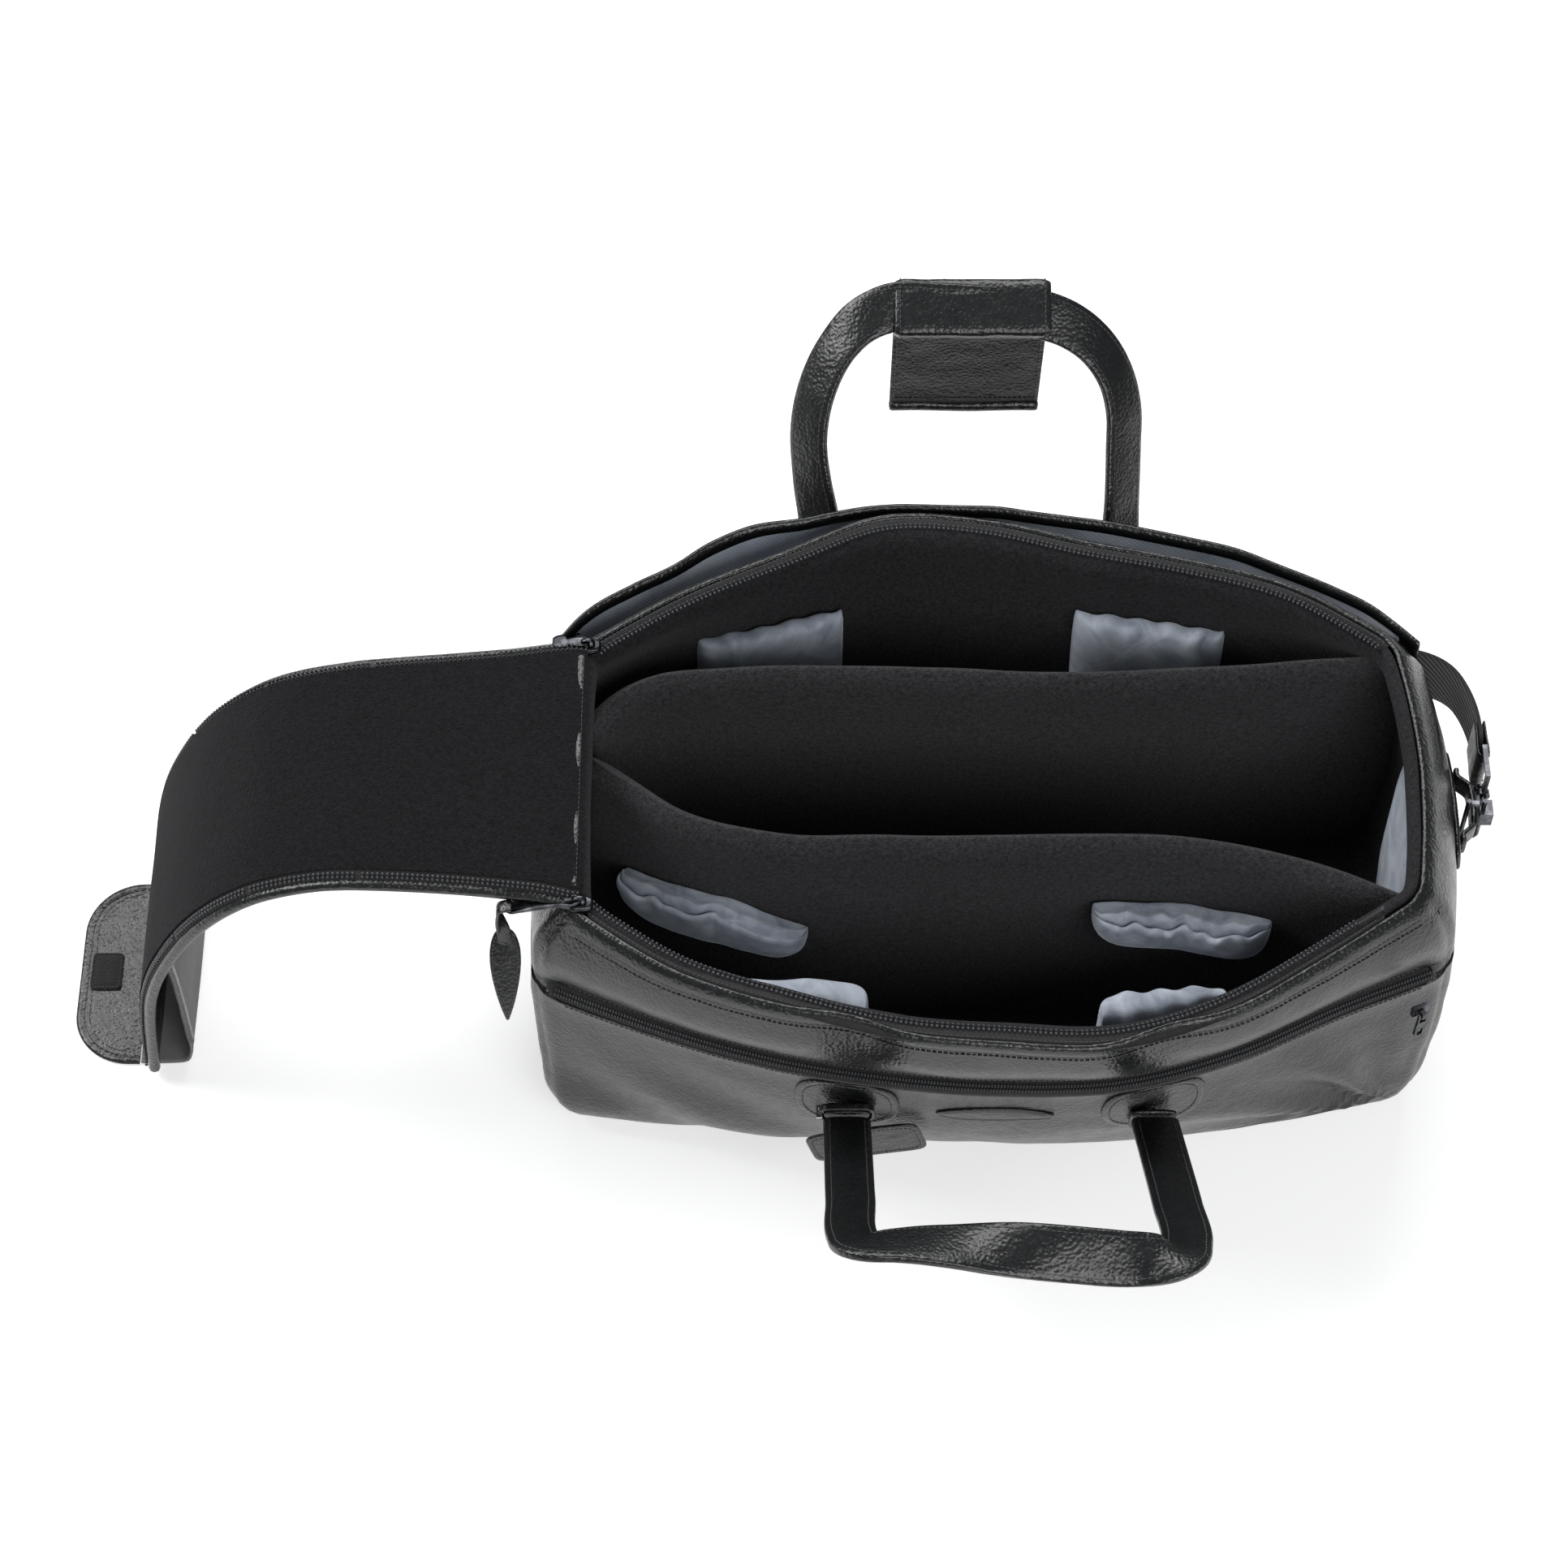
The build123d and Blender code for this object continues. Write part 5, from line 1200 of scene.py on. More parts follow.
def handle_line(side, angle, path, rolls, lifts):
    """The handle's middle line and the way its width lies, from its left root to its right one.
    The path is drawn flat, then leant up. Rolls are (place along 0 to 1, degrees) that the width
    turns by, and lifts are (place, millimetres) off that plane."""
    centre, pivot_y = FRONT_PIVOT if side == FRONT else REAR_PIVOT
    lean = math.radians(angle)
    out = np.array([0, side * math.cos(lean), math.sin(lean)])
    normal = np.array([0, -side * math.sin(lean), math.cos(lean)])
    flat = line_through(path, HANDLE_STEPS)
    along = unit(np.gradient(flat, axis=0))
    share = np.linspace(0, 1, HANDLE_STEPS)
    roll = np.radians(np.interp(share, *np.array(rolls, float).T))
    lift = np.interp(share, *np.array(lifts, float).T)
    for _ in range(12):                # eases the corners of both
        roll[1:-1] = 0.5 * roll[1:-1] + 0.25 * (roll[:-2] + roll[2:])
        lift[1:-1] = 0.5 * lift[1:-1] + 0.25 * (lift[:-2] + lift[2:])
    flat_wide = along[:, 1:] * np.array([1, 0, 0]) - along[:, :1] * out
    across = np.cos(roll)[:, None] * flat_wide + np.sin(roll)[:, None] * normal
    place = np.array([centre, pivot_y, PIVOT_Z])
    line = place + flat[:, :1] * np.array([1, 0, 0]) + flat[:, 1:] * out + lift[:, None] * normal
    return line, across


# Each path is X, then the distance out from the pivots. Its ends are the two legs' roots.
# Front: straight legs, a sharp fold at each corner, and a grip that opens from the left fold.
deep = 222.0 - 16.0                    # to the middle of the grip
path = [(-93, 0), (-93, 60), (-93, 130), (-92.6, deep - 14), (-91, deep - 5), (-85, deep - 0.5),
        (-70, deep), (-28, deep), (28, deep), (66, deep), (84, deep - 0.5), (91, deep - 6),
        (93.5, deep - 18), (94, 130), (93.5, 60), (93, 0)]
rolls = [(0, 0), (0.36, 4), (0.44, 22), (0.50, 52), (0.53, 66), (0.585, 70), (0.62, 60),
         (0.655, 12), (0.68, 0), (1, 0)]
lifts = [(0, 0), (0.2, 0.0), (0.40, 6.5), (0.5, 3.0), (0.60, -2.5), (0.8, -1), (1, 0)]
line, across = handle_line(FRONT, FRONT_LEAN, path, rolls, lifts)
wide = np.interp(np.linspace(0, 1, HANDLE_STEPS), (0, 0.34, 0.42, 0.58, 0.66, 1),
                 (STRAP_WIDE, STRAP_WIDE, 32.0, 32.0, STRAP_WIDE, STRAP_WIDE))
front_strap = strap_with_seams("front_handle_strap", line, across, wide, leather,
                               "front_handle", ("front_handle",))
# Back: rounder, bowed out at both sides, and turned a little about its own line.
path = [(-93, 0), (-96, 40), (-98, 70), (-103, 100), (-105, 128), (-100, 157), (-86, 186),
        (-71, 202), (-54, 210), (-20, 210.5), (20, 208), (44, 206), (61, 200), (80, 186), (93, 166),
        (98.5, 145), (99, 120), (98, 62), (93, 0)]
rolls = [(0, 0), (0.06, 12), (0.2, 40), (0.34, 36), (0.42, 10), (0.5, 0), (0.6, 12), (0.7, 38),
         (0.86, 40), (0.95, 12), (1, 0)]
line, across = handle_line(REAR, REAR_LEAN, path, rolls, [(0, 0), (1, 0)])
rear_strap = strap_with_seams("rear_handle_strap", line, across, wide, leather,
                              "rear_handle", ("rear_handle",))


# ---- handle wrap ------------------------------------------------------------------------------
# A padded leather sleeve sewn round the back grip, with a flap that folds over both grips and
# snaps. Open, it hangs from the sleeve: a sewn ridge near its top and a rolled lip at the end.
SLEEVE_FIRST, SLEEVE_LAST = -60.5, 40.5          # X of its two ends
SLEEVE_WIDE, SLEEVE_THICK, SLEEVE_TURN = 38.0, 13.6, math.radians(-24.0)
FLAP_HALF, FLAP_BOW = 50.0, 1.4
wrap_low, wrap_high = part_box("handle_wrap")
flap_low, flap_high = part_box("wrap_flap")
# The back handle's plane leans, and the sleeve is turned a little from it about the grip.
lean = math.radians(REAR_LEAN)
wrap_mid = np.array([REAR_PIVOT[0], (wrap_low[1] + wrap_high[1]) / 2 / MM,
                     (wrap_low[2] + wrap_high[2]) / 2 / MM])
in_plane = np.array([0, math.cos(lean), math.sin(lean)])
off_plane = np.array([0, -math.sin(lean), math.cos(lean)])
wide_way = math.cos(SLEEVE_TURN) * in_plane + math.sin(SLEEVE_TURN) * off_plane
thick_way = -math.sin(SLEEVE_TURN) * in_plane + math.cos(SLEEVE_TURN) * off_plane


def sleeve_ring(x, wide, thick, puff=0.0):
    """One ring of the sleeve round the grip, swollen by its padding."""
    ring = []
    for a, b in band_section(48, wide, thick, 0.5):
        spot = Vector((x, a * 2, b * 2)) / 18.0
        swell = 1 + puff * noise.noise(spot)
        place = wrap_mid + wide_way * a * swell + thick_way * b * swell
        ring.append((x, place[1], place[2]))
    return ring


stations = np.linspace(SLEEVE_FIRST, SLEEVE_LAST, 27)
ends = [min(1.0, 0.9 + 0.1 * min(abs(x - SLEEVE_FIRST), abs(x - SLEEVE_LAST)) / 3.0)
        for x in stations]
rows = [sleeve_ring(x, SLEEVE_WIDE * e, SLEEVE_THICK * e, 0.03) for x, e in zip(stations, ends)]
rows += [sleeve_ring(x, 33.0, 8.0) for x in stations[::-1]]
rows.append(rows[0])
sleeve = sheet_of("handle_wrap_sleeve", rows, closed=True)
finish_piece(sleeve, leather, "rear_handle", ("handle_wrap",), levels=1)
for x, word in ((SLEEVE_FIRST + 4, "left"), (SLEEVE_LAST - 4, "right")):
    ring = sleeve_ring(x, SLEEVE_WIDE + 0.6, SLEEVE_THICK + 0.6)
    stitches("wrap_thread_" + word, ring + ring[:1], "rear_handle", thick=0.9)

flap_top, flap_end = flap_high[2] / MM - 1.0, flap_low[2] / MM + 4.0
flap_y = (flap_low[1] + flap_high[1]) / 2 / MM
rows = []
for t in np.linspace(0, 1, 34):
    z = flap_top - (flap_top - flap_end) * t
    half = FLAP_HALF - 0.6 * t
    shift = REAR_PIVOT[0] - 1.8 * t
    thick = 3.0 + 4.2 * math.exp(-((t - 0.19) / 0.07) ** 2)      # with the sewn ridge
    row = []
    for a, b in band_section(44, 2 * half, thick, 0.3):
        bow = FLAP_BOW * math.sin(math.pi * t) * (1 - (a / half) ** 2)
        ripple = 0.5 * noise.noise(Vector((a, 0, z)) / 16.0)
        row.append((shift + a, flap_y + b + bow + ripple, z))
    rows.append(row)
flap = sheet_of("wrap_flap_leather", rows, closed=True, capped=True)
finish_piece(flap, leather, "wrap_flap", ("wrap_flap",), levels=1)
lip_line = [(-61.6 + 100.0 * t, flap_y, flap_end - 0.6 + 0.5 * math.sin(9 * t))
            for t in np.linspace(0, 1, 30)]
lip = flat_band("wrap_flap_lip", lip_line, (0, 1, 0), 8.4, 8.6, power=0.95)
finish_piece(lip, leather, "wrap_flap", levels=1)
border = [(-57, flap_top - 6), (-58, flap_end + 8), (35.5, flap_end + 8), (36.5, flap_top - 6)]
for out, word in ((-1, "inner"), (1, "outer")):
    line = [(x, flap_y + out * 1.9
             + FLAP_BOW * math.sin(math.pi * (flap_top - z) / (flap_top - flap_end))
             * (1 - ((x + 11) / FLAP_HALF) ** 2), z) for x, z in evenly(border, 160)]
    stitches("wrap_flap_thread_" + word, line, "wrap_flap", thick=0.9)


# ---- handle patches ---------------------------------------------------------------------------
# Four rounded patches of the leather spread each leg's pull over the wall. The strap's doubled
# end is sewn down through patch and wall, and each patch has a row of stitches near its edge.
def front_face(x, z):
    """Y of the front leather at a place on it."""
    row = shaped_skin(z)[:WALL_COUNT]
    return float(np.interp(x, row[:, 0], row[:, 1]))


def rear_face(x, z):
    """Y of the slip pocket's leather at a place on it."""
    row = slip_row(z)
    return float(np.interp(x, row[:, 0], row[:, 1])) + 0.7


PATCH_HALF, PATCH_Z = 31.5, PIVOT_Z - 1
OVAL_X, OVAL_Z, OVAL_HALF_WIDE, OVAL_HALF_HIGH = -3.0, 122.0, 36.0, 9.5


def patch_ring(cx, cz, half_wide, half_high, out, side, power=0.8):
    """One ring of a patch round its centre, following the wall at a distance from it."""
    face = front_face if side == FRONT else rear_face
    return [(cx + x, face(cx + x, cz + z) + side * out, cz + z)
            for x, z in soft_box(half_wide, half_high, power, 72)]


def leg_patch(name, x, side, pivot_y):
    """A patch, the strap's doubled end on it, and the stitching of both."""
    rings = [patch_ring(x, PATCH_Z, PATCH_HALF - i, PATCH_HALF - i, out, side) for i, out in
             ((0, -0.4), (-0.1, 1.0), (0.7, 2.0), (2.4, 2.4), (4.4, 2.1), (6.5, 2.4), (14, 2.4),
              (24, 2.4), (30, 2.4))]
    patch = sheet_of(name, rings, closed=True, capped=True)
    finish_piece(patch, leather, "bag")
    ring = patch_ring(x, PATCH_Z, 27.0, 27.0, 2.3, side)
    stitches(name + "_thread", ring + ring[:1], "bag", pitch=3.2, thick=0.9)
    face = front_face if side == FRONT else rear_face
    wall = face(x, PIVOT_Z)
    # The strap's end lies on the patch and bends out to the pivot.
    path = line_through(((wall + side * 4.6, 107), (wall + side * 5.2, 116),
                         (wall + side * 7.0, 123.5),
                         ((wall + side * 7 + pivot_y - side * 3.4) / 2, PIVOT_Z - 0.6),
                         (pivot_y - side * 3.4, PIVOT_Z)), 20)
    line = [(x, y, z) for y, z in path]
    stub = flat_band(name + "_strap_end", line, (1, 0, 0), STRAP_WIDE - 0.6, 5.6, power=0.42,
                     crown=0.2)
    finish_piece(stub, leather, "bag", levels=1)
    # The stitched box holds the strap's end down.
    box = [(x - 10, 110), (x + 10, 110), (x + 10, 119), (x - 10, 119), (x - 10, 110)]
    line = [(bx, wall + side * 8.2 + side * 1.4 * max(0, (bz - 112) / 8), bz)
            for bx, bz in evenly(box, 60)]
    stitches(name + "_box_thread", line, "bag", thick=0.9)
    return patch


first_patch = leg_patch("patch_front_left", -LEG_HALF, FRONT, FRONT_PIVOT[1])
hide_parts("handle_anchors")
leg_patch("patch_front_right", LEG_HALF, FRONT, FRONT_PIVOT[1])
leg_patch("patch_rear_left", REAR_PIVOT[0] - LEG_HALF, REAR, REAR_PIVOT[1])
leg_patch("patch_rear_right", REAR_PIVOT[0] + LEG_HALF, REAR, REAR_PIVOT[1])

# A bare raised oval between the front patches, pressed over a thin former.
rings = [patch_ring(OVAL_X, OVAL_Z, OVAL_HALF_WIDE - i, OVAL_HALF_HIGH - i * 0.8, out, FRONT,
                    power=0.95) for i, out in
         ((0, -0.3), (0.1, 0.9), (1.0, 1.5), (2.2, 1.1), (3.4, 1.0), (4.6, 1.5), (8.0, 1.6),
          (10.5, 1.6))]
oval = sheet_of("front_oval", rings, closed=True, capped=True)
finish_piece(oval, leather, "bag")


# ---- luggage tag ------------------------------------------------------------------------------
# A small two-layer leather tag, sewn all round, on a narrow strap that goes round the left leg's
# sewn end and closes with a nickel wire buckle.
tag_low, tag_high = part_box("luggage_tag")
tag_y = (tag_low[1] + tag_high[1]) / 2 / MM
TAG_PIVOT, TAG_TILT = (-85.0, 117.8), math.radians(15.0)
TAG_HALF_LONG, TAG_HALF_HIGH = 35.7, 17.2


def tag_place(a, b, out):
    """A point of the card: along it, up from its top edge, and out from its middle."""
    return (TAG_PIVOT[0] + a * math.cos(TAG_TILT) - b * math.sin(TAG_TILT), tag_y - out,
            TAG_PIVOT[1] - 12.0 + a * math.sin(TAG_TILT) + b * math.cos(TAG_TILT))


def tag_ring(inset, depth):
    """One ring of the card's edge, drawn in from it, at a depth through the card."""
    return [tag_place(along, up - 17.5, depth - 0.8 * math.sin((along + 36) / 24.0))
            for along, up in soft_box(TAG_HALF_LONG - inset, TAG_HALF_HIGH - inset, 0.3, 96)]


rings = [tag_ring(i, d) for i, d in ((14, -1.2), (3, -1.2), (0.6, -1.1), (0, -0.3), (0, 0.4),
                                     (0.6, 1.2), (2.0, 1.3), (3.4, 1.0), (5.0, 1.2), (14, 1.2))]
card = sheet_of("luggage_tag_leather", rings, closed=True, capped=True)
finish_piece(card, leather, "luggage_tag", ("luggage_tag",), levels=1)
ring = tag_ring(3.4, 1.15)
stitches("luggage_tag_thread", ring + ring[:1], "luggage_tag", pitch=2.8, length=2.1)
strap_low, strap_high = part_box("tag_strap")
loop_mid = [(low + high) / 2 / MM for low, high in zip(strap_low, strap_high)]
loop_half = [(high - low) / 2 / MM - 1.0 for low, high in zip(strap_low, strap_high)]
line = [(loop_mid[0] + squared(math.cos(a), 0.35) * loop_half[0], loop_mid[1],
         loop_mid[2] + squared(math.sin(a), 0.5) * loop_half[2])
        for a in np.linspace(-math.pi / 2, 1.5 * math.pi, 80)]
loop = flat_band("luggage_tag_strap", line, (0, 1, 0), 4.4, 1.9, power=0.5)
finish_piece(loop, leather, "bag", ("tag_strap",), levels=1)
line = line_through((tag_place(1, -8, 0.2), tag_place(0.5, 0, 0.4), (TAG_PIVOT[0], tag_y, 112.0),
                     (TAG_PIVOT[0], tag_y, 117.4)), 16)
neck = flat_band("luggage_tag_neck", line, (1, 0, 0), 10.0, 2.0, power=0.5)
finish_piece(neck, leather, "luggage_tag", levels=1)


# ---- end tabs ---------------------------------------------------------------------------------
# On each end a long patch of doubled leather, sewn all round, with a standing loop at its middle
# that the strap's hook goes through.
def end_face(side, y, z):
    """X of an end's leather at a place on it."""
    loop = body_loop(min(z, MOUTH_Z))
    part = loop[WALL_COUNT:WALL_COUNT + END_COUNT] if side > 0 else loop[END_OF_LOOP:]
    order = np.argsort(part[:, 1])
    return float(np.interp(y, part[order, 1], part[order, 0]))


tabs_low, tabs_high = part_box("end_tabs")
TAB_Y, TAB_Z = 10, (tabs_low[2] + tabs_high[2]) / 2 / MM
TAB_HALF_LONG, TAB_HALF_HIGH = 39, 11.5


def tab_ring(side, inset, out, count=80, closed=False):
    """One ring of the tab, drawn in from its edge, following the end at a distance from it."""
    box = soft_box(TAB_HALF_LONG - inset, TAB_HALF_HIGH - inset, 0.35, count, closed)
    return [(end_face(side, TAB_Y + y, TAB_Z + z) + side * out, TAB_Y + y, TAB_Z + z)
            for y, z in box]


for side, word in ((-1, "left"), (1, "right")):
    rings = [tab_ring(side, inset, out)
             for inset, out in ((0, -0.5), (0.1, 1.2), (0.9, 2.0), (2.2, 2.2), (3.6, 1.8),
                                (5.2, 2.2), (9.0, 2.2))]
    tab = sheet_of("end_tab_" + word, rings, closed=True, capped=True)
    finish_piece(tab, leather, "bag", ("end_tabs",) if side < 0 else ())
    ring = tab_ring(side, 3.6, 2.0, 81, closed=True)
    stitches("end_tab_thread_" + word, ring, "bag", pitch=3.0, length=2.3)
    base = end_face(side, TAB_Y, TAB_Z)
    far = side * (abs(tabs_high[0]) / MM - 2.2)
    # The loop lies on the tab, stands out at its middle and lies on the tab again.
    path = line_through(((base + side * 3.4, -17), (base + side * 3.6, -11),
                         ((base + far) / 2 + side * 1.0, -8.2), (far - side * 1.0, -4.5), (far, 3),
                         (far, 17), (far - side * 1.0, 24.5), ((base + far) / 2 + side * 1.0, 28.2),
                         (base + side * 3.6, 31), (base + side * 3.4, 37)), 60)
    loop = flat_band("end_loop_" + word, [(x, y, TAB_Z) for x, y in path], (0, 0, 1), 16.0, 3.6,
                     power=0.45)
    finish_piece(loop, leather, "bag", levels=1)
    for rise in (-5.4, 5.4):
        line = [(x + side * 1.95, y, TAB_Z + rise) for x, y in path[14:-14]]
        stitches("end_loop_thread_%s_%s" % (word, "low" if rise < 0 else "high"), line, "bag",
                 pitch=3.0, length=2.3)


# ---- strap hooks and frames -------------------------------------------------------------------
# Zinc and steel wire, plated in dark gunmetal and lacquered: smooth and bright on its bends, with
# fine drawing marks and rubbed, warmer edges.
def plated_finish(name, colour, rubbed, roughness, mark_mm):
    material = start_material(name)
    place = node(material, "ShaderNodeTexCoord").outputs["Object"]
    marks = node(material, "ShaderNodeTexNoise",
                 {"Scale": 1000 / mark_mm, "Detail": 4.0, "Roughness": 0.7}, Vector=place)
    worn = node(material, "ShaderNodeTexNoise", {"Scale": 160.0, "Detail": 3.0}, Vector=place)
    tone = node(material, "ShaderNodeValToRGB",
                {"stops": ((0.45, linear(colour)), (0.72, linear(rubbed)))},
                Fac=worn.outputs["Fac"])
    gloss = node(material, "ShaderNodeMapRange",
                 {"To Min": roughness - 0.08, "To Max": roughness + 0.14},
                 Value=marks.outputs["Fac"])
    bump = node(material, "ShaderNodeBump", {"Strength": 0.25, "Distance": 0.05 * MM},
                Height=marks.outputs["Fac"])
    shader = node(material, "ShaderNodeBsdfPrincipled", {"Metallic": 1.0},
                  Base_Color=tone.outputs["Color"], Roughness=gloss.outputs["Result"],
                  Normal=bump.outputs["Normal"])
    return finish_material(material, shader.outputs[0])


gunmetal = plated_finish("gunmetal_plated_steel", "#4d4e52", "#77787c", 0.28, 0.7)
nickel = plated_finish("nickel_plated_wire", "#b3b1ab", "#cfcdc6", 0.2, 0.6)
zip_black = plated_finish("black_coated_zinc_casting", "#2c2d30", "#55565a", 0.26, 0.8)


def repaint(material, *node_names):
    """Gives CAD nodes that stay as they are their material."""
    for name in node_names:
        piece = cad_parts[name]
        piece.data.materials.clear()
        piece.data.materials.append(material)
        for face in piece.data.polygons:
            face.material_index = 0


repaint(gunmetal, "left_hook", "right_hook", "left_hook_gate", "right_hook_gate", "strap_frames")
repaint(nickel, "tag_buckle")
repaint(zip_black, "pocket_slider", "pocket_pull")


# ---- shoulder strap ---------------------------------------------------------------------------
# Black polypropylene webbing, 38 mm, in a coarse rib. Each end is a leather piece folded round
# its wire frame. The strap drops behind the bag and lies on the floor there.
def webbing_finish(name, colour, rib_mm):
    material = start_material(name)
    place = node(material, "ShaderNodeTexCoord").outputs["Object"]
    ribs = node(material, "ShaderNodeTexWave",
                {"bands_direction": "Z", "Scale": 1000 / rib_mm / 6.3, "Distortion": 0.6},
                Vector=place)
    weft = node(material, "ShaderNodeTexNoise", {"Scale": 420.0, "Detail": 3.0}, Vector=place)
    high = [min(1, c * 2.0) for c in linear(colour)[:3]] + [1]
    tone = node(material, "ShaderNodeValToRGB", {"stops": ((0.3, linear(colour)), (0.75, high))},
                Fac=weft.outputs["Fac"])
    bump = node(material, "ShaderNodeBump", {"Strength": 0.8, "Distance": 0.5 * MM},
                Height=ribs.outputs["Fac"])
    fuzz = node(material, "ShaderNodeBump", {"Strength": 0.4, "Distance": 0.3 * MM},
                Height=weft.outputs["Fac"], Normal=bump.outputs["Normal"])
    shader = node(material, "ShaderNodeBsdfPrincipled",
                  {"Roughness": 0.72, "Specular IOR Level": 0.35, "Sheen Weight": 0.2},
                  Base_Color=tone.outputs["Color"], Normal=fuzz.outputs["Normal"])
    return finish_material(material, shader.outputs[0])


webbing = webbing_finish("black_polypropylene_webbing", "#131314", 2.1)
# Middle line of the webbing from the right frame to the left one.
STRAP_ROUTE = ((301, 47, 190), (301, 62, 190), (294, 97, 184), (268, 139, 150), (238, 163, 108),
               (204, 190, 64), (176, 207, 32), (146, 216, 19.5), (104, 223, 19.2),
               (20, 225.5, 19.2), (-80, 225.5, 19.2), (-170, 225.5, 19.2), (-232, 223, 19.2),
               (-272, 205, 19.2), (-292, 184, 19.6), (-299, 150, 24), (-301, 124, 44),
               (-301, 98, 96), (-301, 72, 150), (-301, 58, 180), (-301, 47, 190))
line = line_through(STRAP_ROUTE, 260)
WEBBING_WIDE, WEBBING_THICK = 37.0, 2.2
band = flat_band("shoulder_strap_webbing", line, (0, 0, 1), WEBBING_WIDE, WEBBING_THICK, power=0.3,
                 around=12)
finish_piece(band, webbing, "bag", ("shoulder_strap",))
STRAP_END_X, STRAP_Z = 301.4, 190.0    # of the two wire frames
for side, word in ((-1, "left"), (1, "right")):
    x = side * STRAP_END_X
    # Out along one face, round the frame's bar and back along the other face.
    path = line_through(((x - side * 2.6, 62), (x - side * 2.8, 50), (x - side * 3.2, 42),
                         (x - side * 2.6, 36.6), (x, 34.2), (x + side * 2.6, 36.6),
                         (x + side * 3.2, 42), (x + side * 2.8, 50), (x + side * 2.6, 62)), 48)
    end = flat_band("strap_end_" + word, [(px, py, STRAP_Z) for px, py in path], (0, 0, 1), 35.6,
                    2.0, power=0.4)
    finish_piece(end, leather, "bag", ("strap_ends",) if side < 0 else (),
                 levels=1)
    for rise in (-14.0, 14.0):
        line = [(px + side * 1.15, py, STRAP_Z + rise) for px, py in path[26:-2]]
        stitches("strap_end_thread_%s_%s" % (word, "low" if rise < 0 else "high"), line, "bag",
                 pitch=3.0, length=2.3)


# ---- sliders and pulls ------------------------------------------------------------------------
# Cast zinc sliders with a bridge, black-coated. The front one has a plate pull, and a short
# leather strap from it that carries a sewn leather leaf. The back one has the plate alone.
SLIDER_X, SLIDER_Y, SLIDER_Z = -251.0, 93.0, 240.5
EYE_X, EYE_Z = SLIDER_X - 1, SLIDER_Z + 6.4      # where the pulls hang from the bridges
PULL_DROP = 12.0                                 # degrees that the front pull hangs down
LEAF_LEAN = math.radians(30)                     # that the leaf is turned up to the front
for side, word in ((FRONT, "front"), (REAR, "rear")):
    y = side * SLIDER_Y
    turn = np.linspace(0, 2 * math.pi, 40, endpoint=False)
    rings = []
    for inset, z in ((1.2, 0.0), (0.2, 0.4), (0.0, 1.4), (0.3, 1.9), (1.3, 2.1), (1.3, 2.4),
                     (0.3, 2.6), (0.0, 3.1), (0.4, 3.8), (1.6, 4.1), (3.0, 4.1)):
        rings.append([(SLIDER_X + squared(math.cos(a), 0.5) * (7.0 - inset),
                       y + squared(math.sin(a), 0.6) * (4.9 - inset) * (1 - 0.16 * math.cos(a)),
                       SLIDER_Z + z) for a in turn])
    body = sheet_of("mouth_slider_" + word, rings, closed=True, capped=True)
    finish_piece(body, zip_black, "bag", ("mouth_sliders",) if side < 0 else (),
                 sharp=50)
    arch = [(SLIDER_X - 5.0, y, SLIDER_Z + 3.6), (SLIDER_X - 4.4, y, SLIDER_Z + 7.4),
            (SLIDER_X - 1, y, SLIDER_Z + 8.6), (SLIDER_X + 2.2, y, SLIDER_Z + 7.4),
            (SLIDER_X + 2.8, y, SLIDER_Z + 3.6)]
    bridge = flat_band("mouth_slider_bridge_" + word, line_through(arch, 26), (0, 1, 0), 3.0, 1.4,
                       power=0.6)
    finish_piece(bridge, zip_black, "bag")


def pull_plate(name, length, y, drop, body, replaced):
    """A stamped pull: an eye round the slider's bridge, a waist, and a plate with a rolled rim."""
    # Along it and half its width: the eye, the waist, then the plate.
    outline = [(1.2, 1.6), (-2, 3.5), (-8.5, 3.5), (-10.5, 2.8), (-14, 3.0), (-length + 8, 4.3),
               (-length + 2.4, 4.3), (-length, 2.6)]
    top = line_through(outline, 30)
    ring = np.array([(a, b) for a, b in top] + [(a, -b) for a, b in top[::-1]])
    middle = ring.mean(axis=0)
    c, s = math.cos(math.radians(drop)), math.sin(math.radians(drop))
    rows = []
    for share, rise in ((0.1, -0.8), (0.96, -0.8), (1.0, -0.4), (1.0, 0.4), (0.96, 0.9),
                        (0.84, 1.0), (0.78, 0.5), (0.1, 0.5)):
        long = share if share < 0.5 else 1 - (1 - share) * 0.5
        row = [(middle[0] + (a - middle[0]) * long, middle[1] + (b - middle[1]) * share)
               for a, b in ring]
        rows.append([(EYE_X + a * c - rise * s, y + b, EYE_Z + a * s + rise * c) for a, b in row])
    plate = sheet_of(name, rows, closed=True, capped=True)
    return finish_piece(plate, zip_black, body, replaced, sharp=50)


pull_plate("front_pull_plate", 45.0, -SLIDER_Y, PULL_DROP, "front_pull", ("front_pull",))
pull_plate("rear_pull_plate", 22.0, SLIDER_Y, 0.0, "rear_pull", ("rear_pull",))

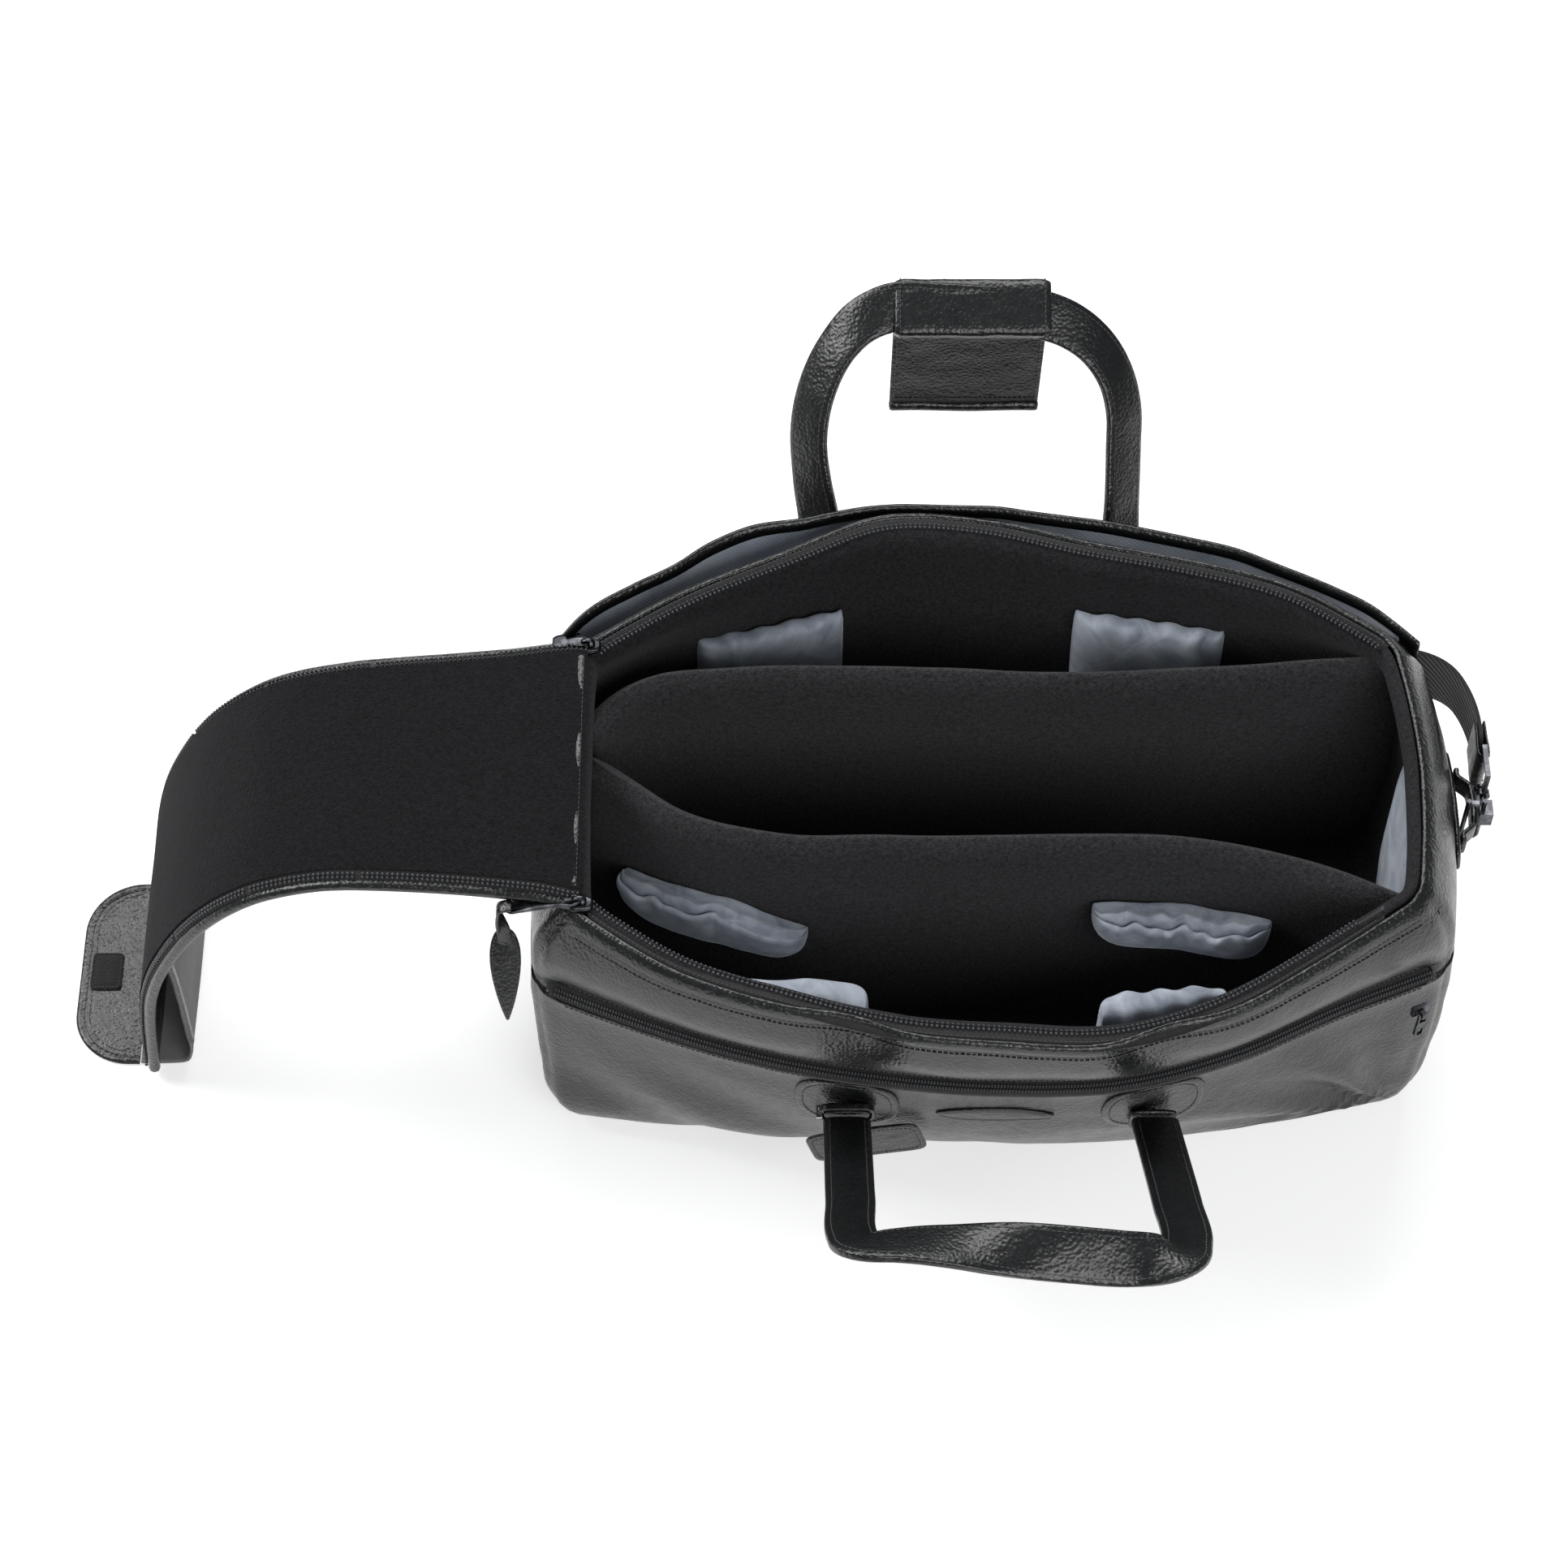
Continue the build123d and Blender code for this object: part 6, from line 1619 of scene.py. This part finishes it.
# The leaf: two leathers sewn round their edge, on a strap that turns as it drops from the pull.
drop = math.radians(PULL_DROP)
leaf_x, leaf_z = EYE_X - 47.4 * math.cos(drop), EYE_Z - 47.4 * math.sin(drop)
LEAF_TOP = np.array([leaf_x, -SLIDER_Y, leaf_z - 28.0])
leaf_down = np.array([0, -math.sin(LEAF_LEAN), -math.cos(LEAF_LEAN)])
leaf_face = np.array([0, -math.cos(LEAF_LEAN), math.sin(LEAF_LEAN)])
strap = line_through(((leaf_x + 6.5, -SLIDER_Y, leaf_z + 3.0),
                      (leaf_x + 2.5, -SLIDER_Y, leaf_z + 2.6),
                      (leaf_x - 1.4, -SLIDER_Y, leaf_z + 0.6),
                      (leaf_x - 2.4, -SLIDER_Y, leaf_z - 6),
                      (leaf_x - 1.6, -93.4, leaf_z - 16), (leaf_x - 0.4, -94, leaf_z - 24),
                      (leaf_x, -96.5, leaf_z - 32), (leaf_x, -99.5, leaf_z - 38)), 40)
turn = np.clip((np.arange(40) - 10) / 22.0, 0, 1)[:, None] ** 1.2 * math.pi / 2
across = np.cos(turn) * np.array([0, 1.0, 0]) + np.sin(turn) * np.array([1.0, 0, 0])
strap = flat_band("pull_leaf_strap", strap, across, 8.6, 2.4, power=0.5)
finish_piece(strap, leather, "pull_leaf", levels=1)
# Down the leaf from its top, and half its width there.
profile = line_through(((3.0, 2.6), (0.5, 5.4), (-4, 7.6), (-10, 9.0), (-18, 9.4), (-28, 8.6),
                        (-38, 6.9), (-48, 4.6), (-56, 2.2), (-60, 0.8)), 60)


def leaf_ring(inset, out):
    """One ring of the leaf, drawn in from its edge, at a distance from its middle layer."""
    ring = [(max(half - inset, 0.4), down) for down, half in profile]
    ring += [(-max(half - inset, 0.4), down) for down, half in profile[::-1]]
    return [tuple(LEAF_TOP + leaf_down * (-down - inset * 0.5 * (down < -54)) + np.array([x, 0, 0])
                  + leaf_face * (out + 1.4 * math.sin(max(0, -down) / 20.0))) for x, down in ring]


rings = [leaf_ring(i, d) for i, d in ((3.0, -1.3), (0.7, -1.3), (0, -0.6), (0, 0.6), (0.7, 1.3),
                                      (1.7, 1.0), (3.0, 1.5))]
blade = sheet_of("pull_leaf_leather", rings, closed=True, capped=True)
finish_piece(blade, leather, "pull_leaf", ("pull_leaf",))
stitches("pull_leaf_thread", leaf_ring(1.8, 1.35)[6:-6], "pull_leaf", pitch=2.7, length=2.0,
         thick=0.75)
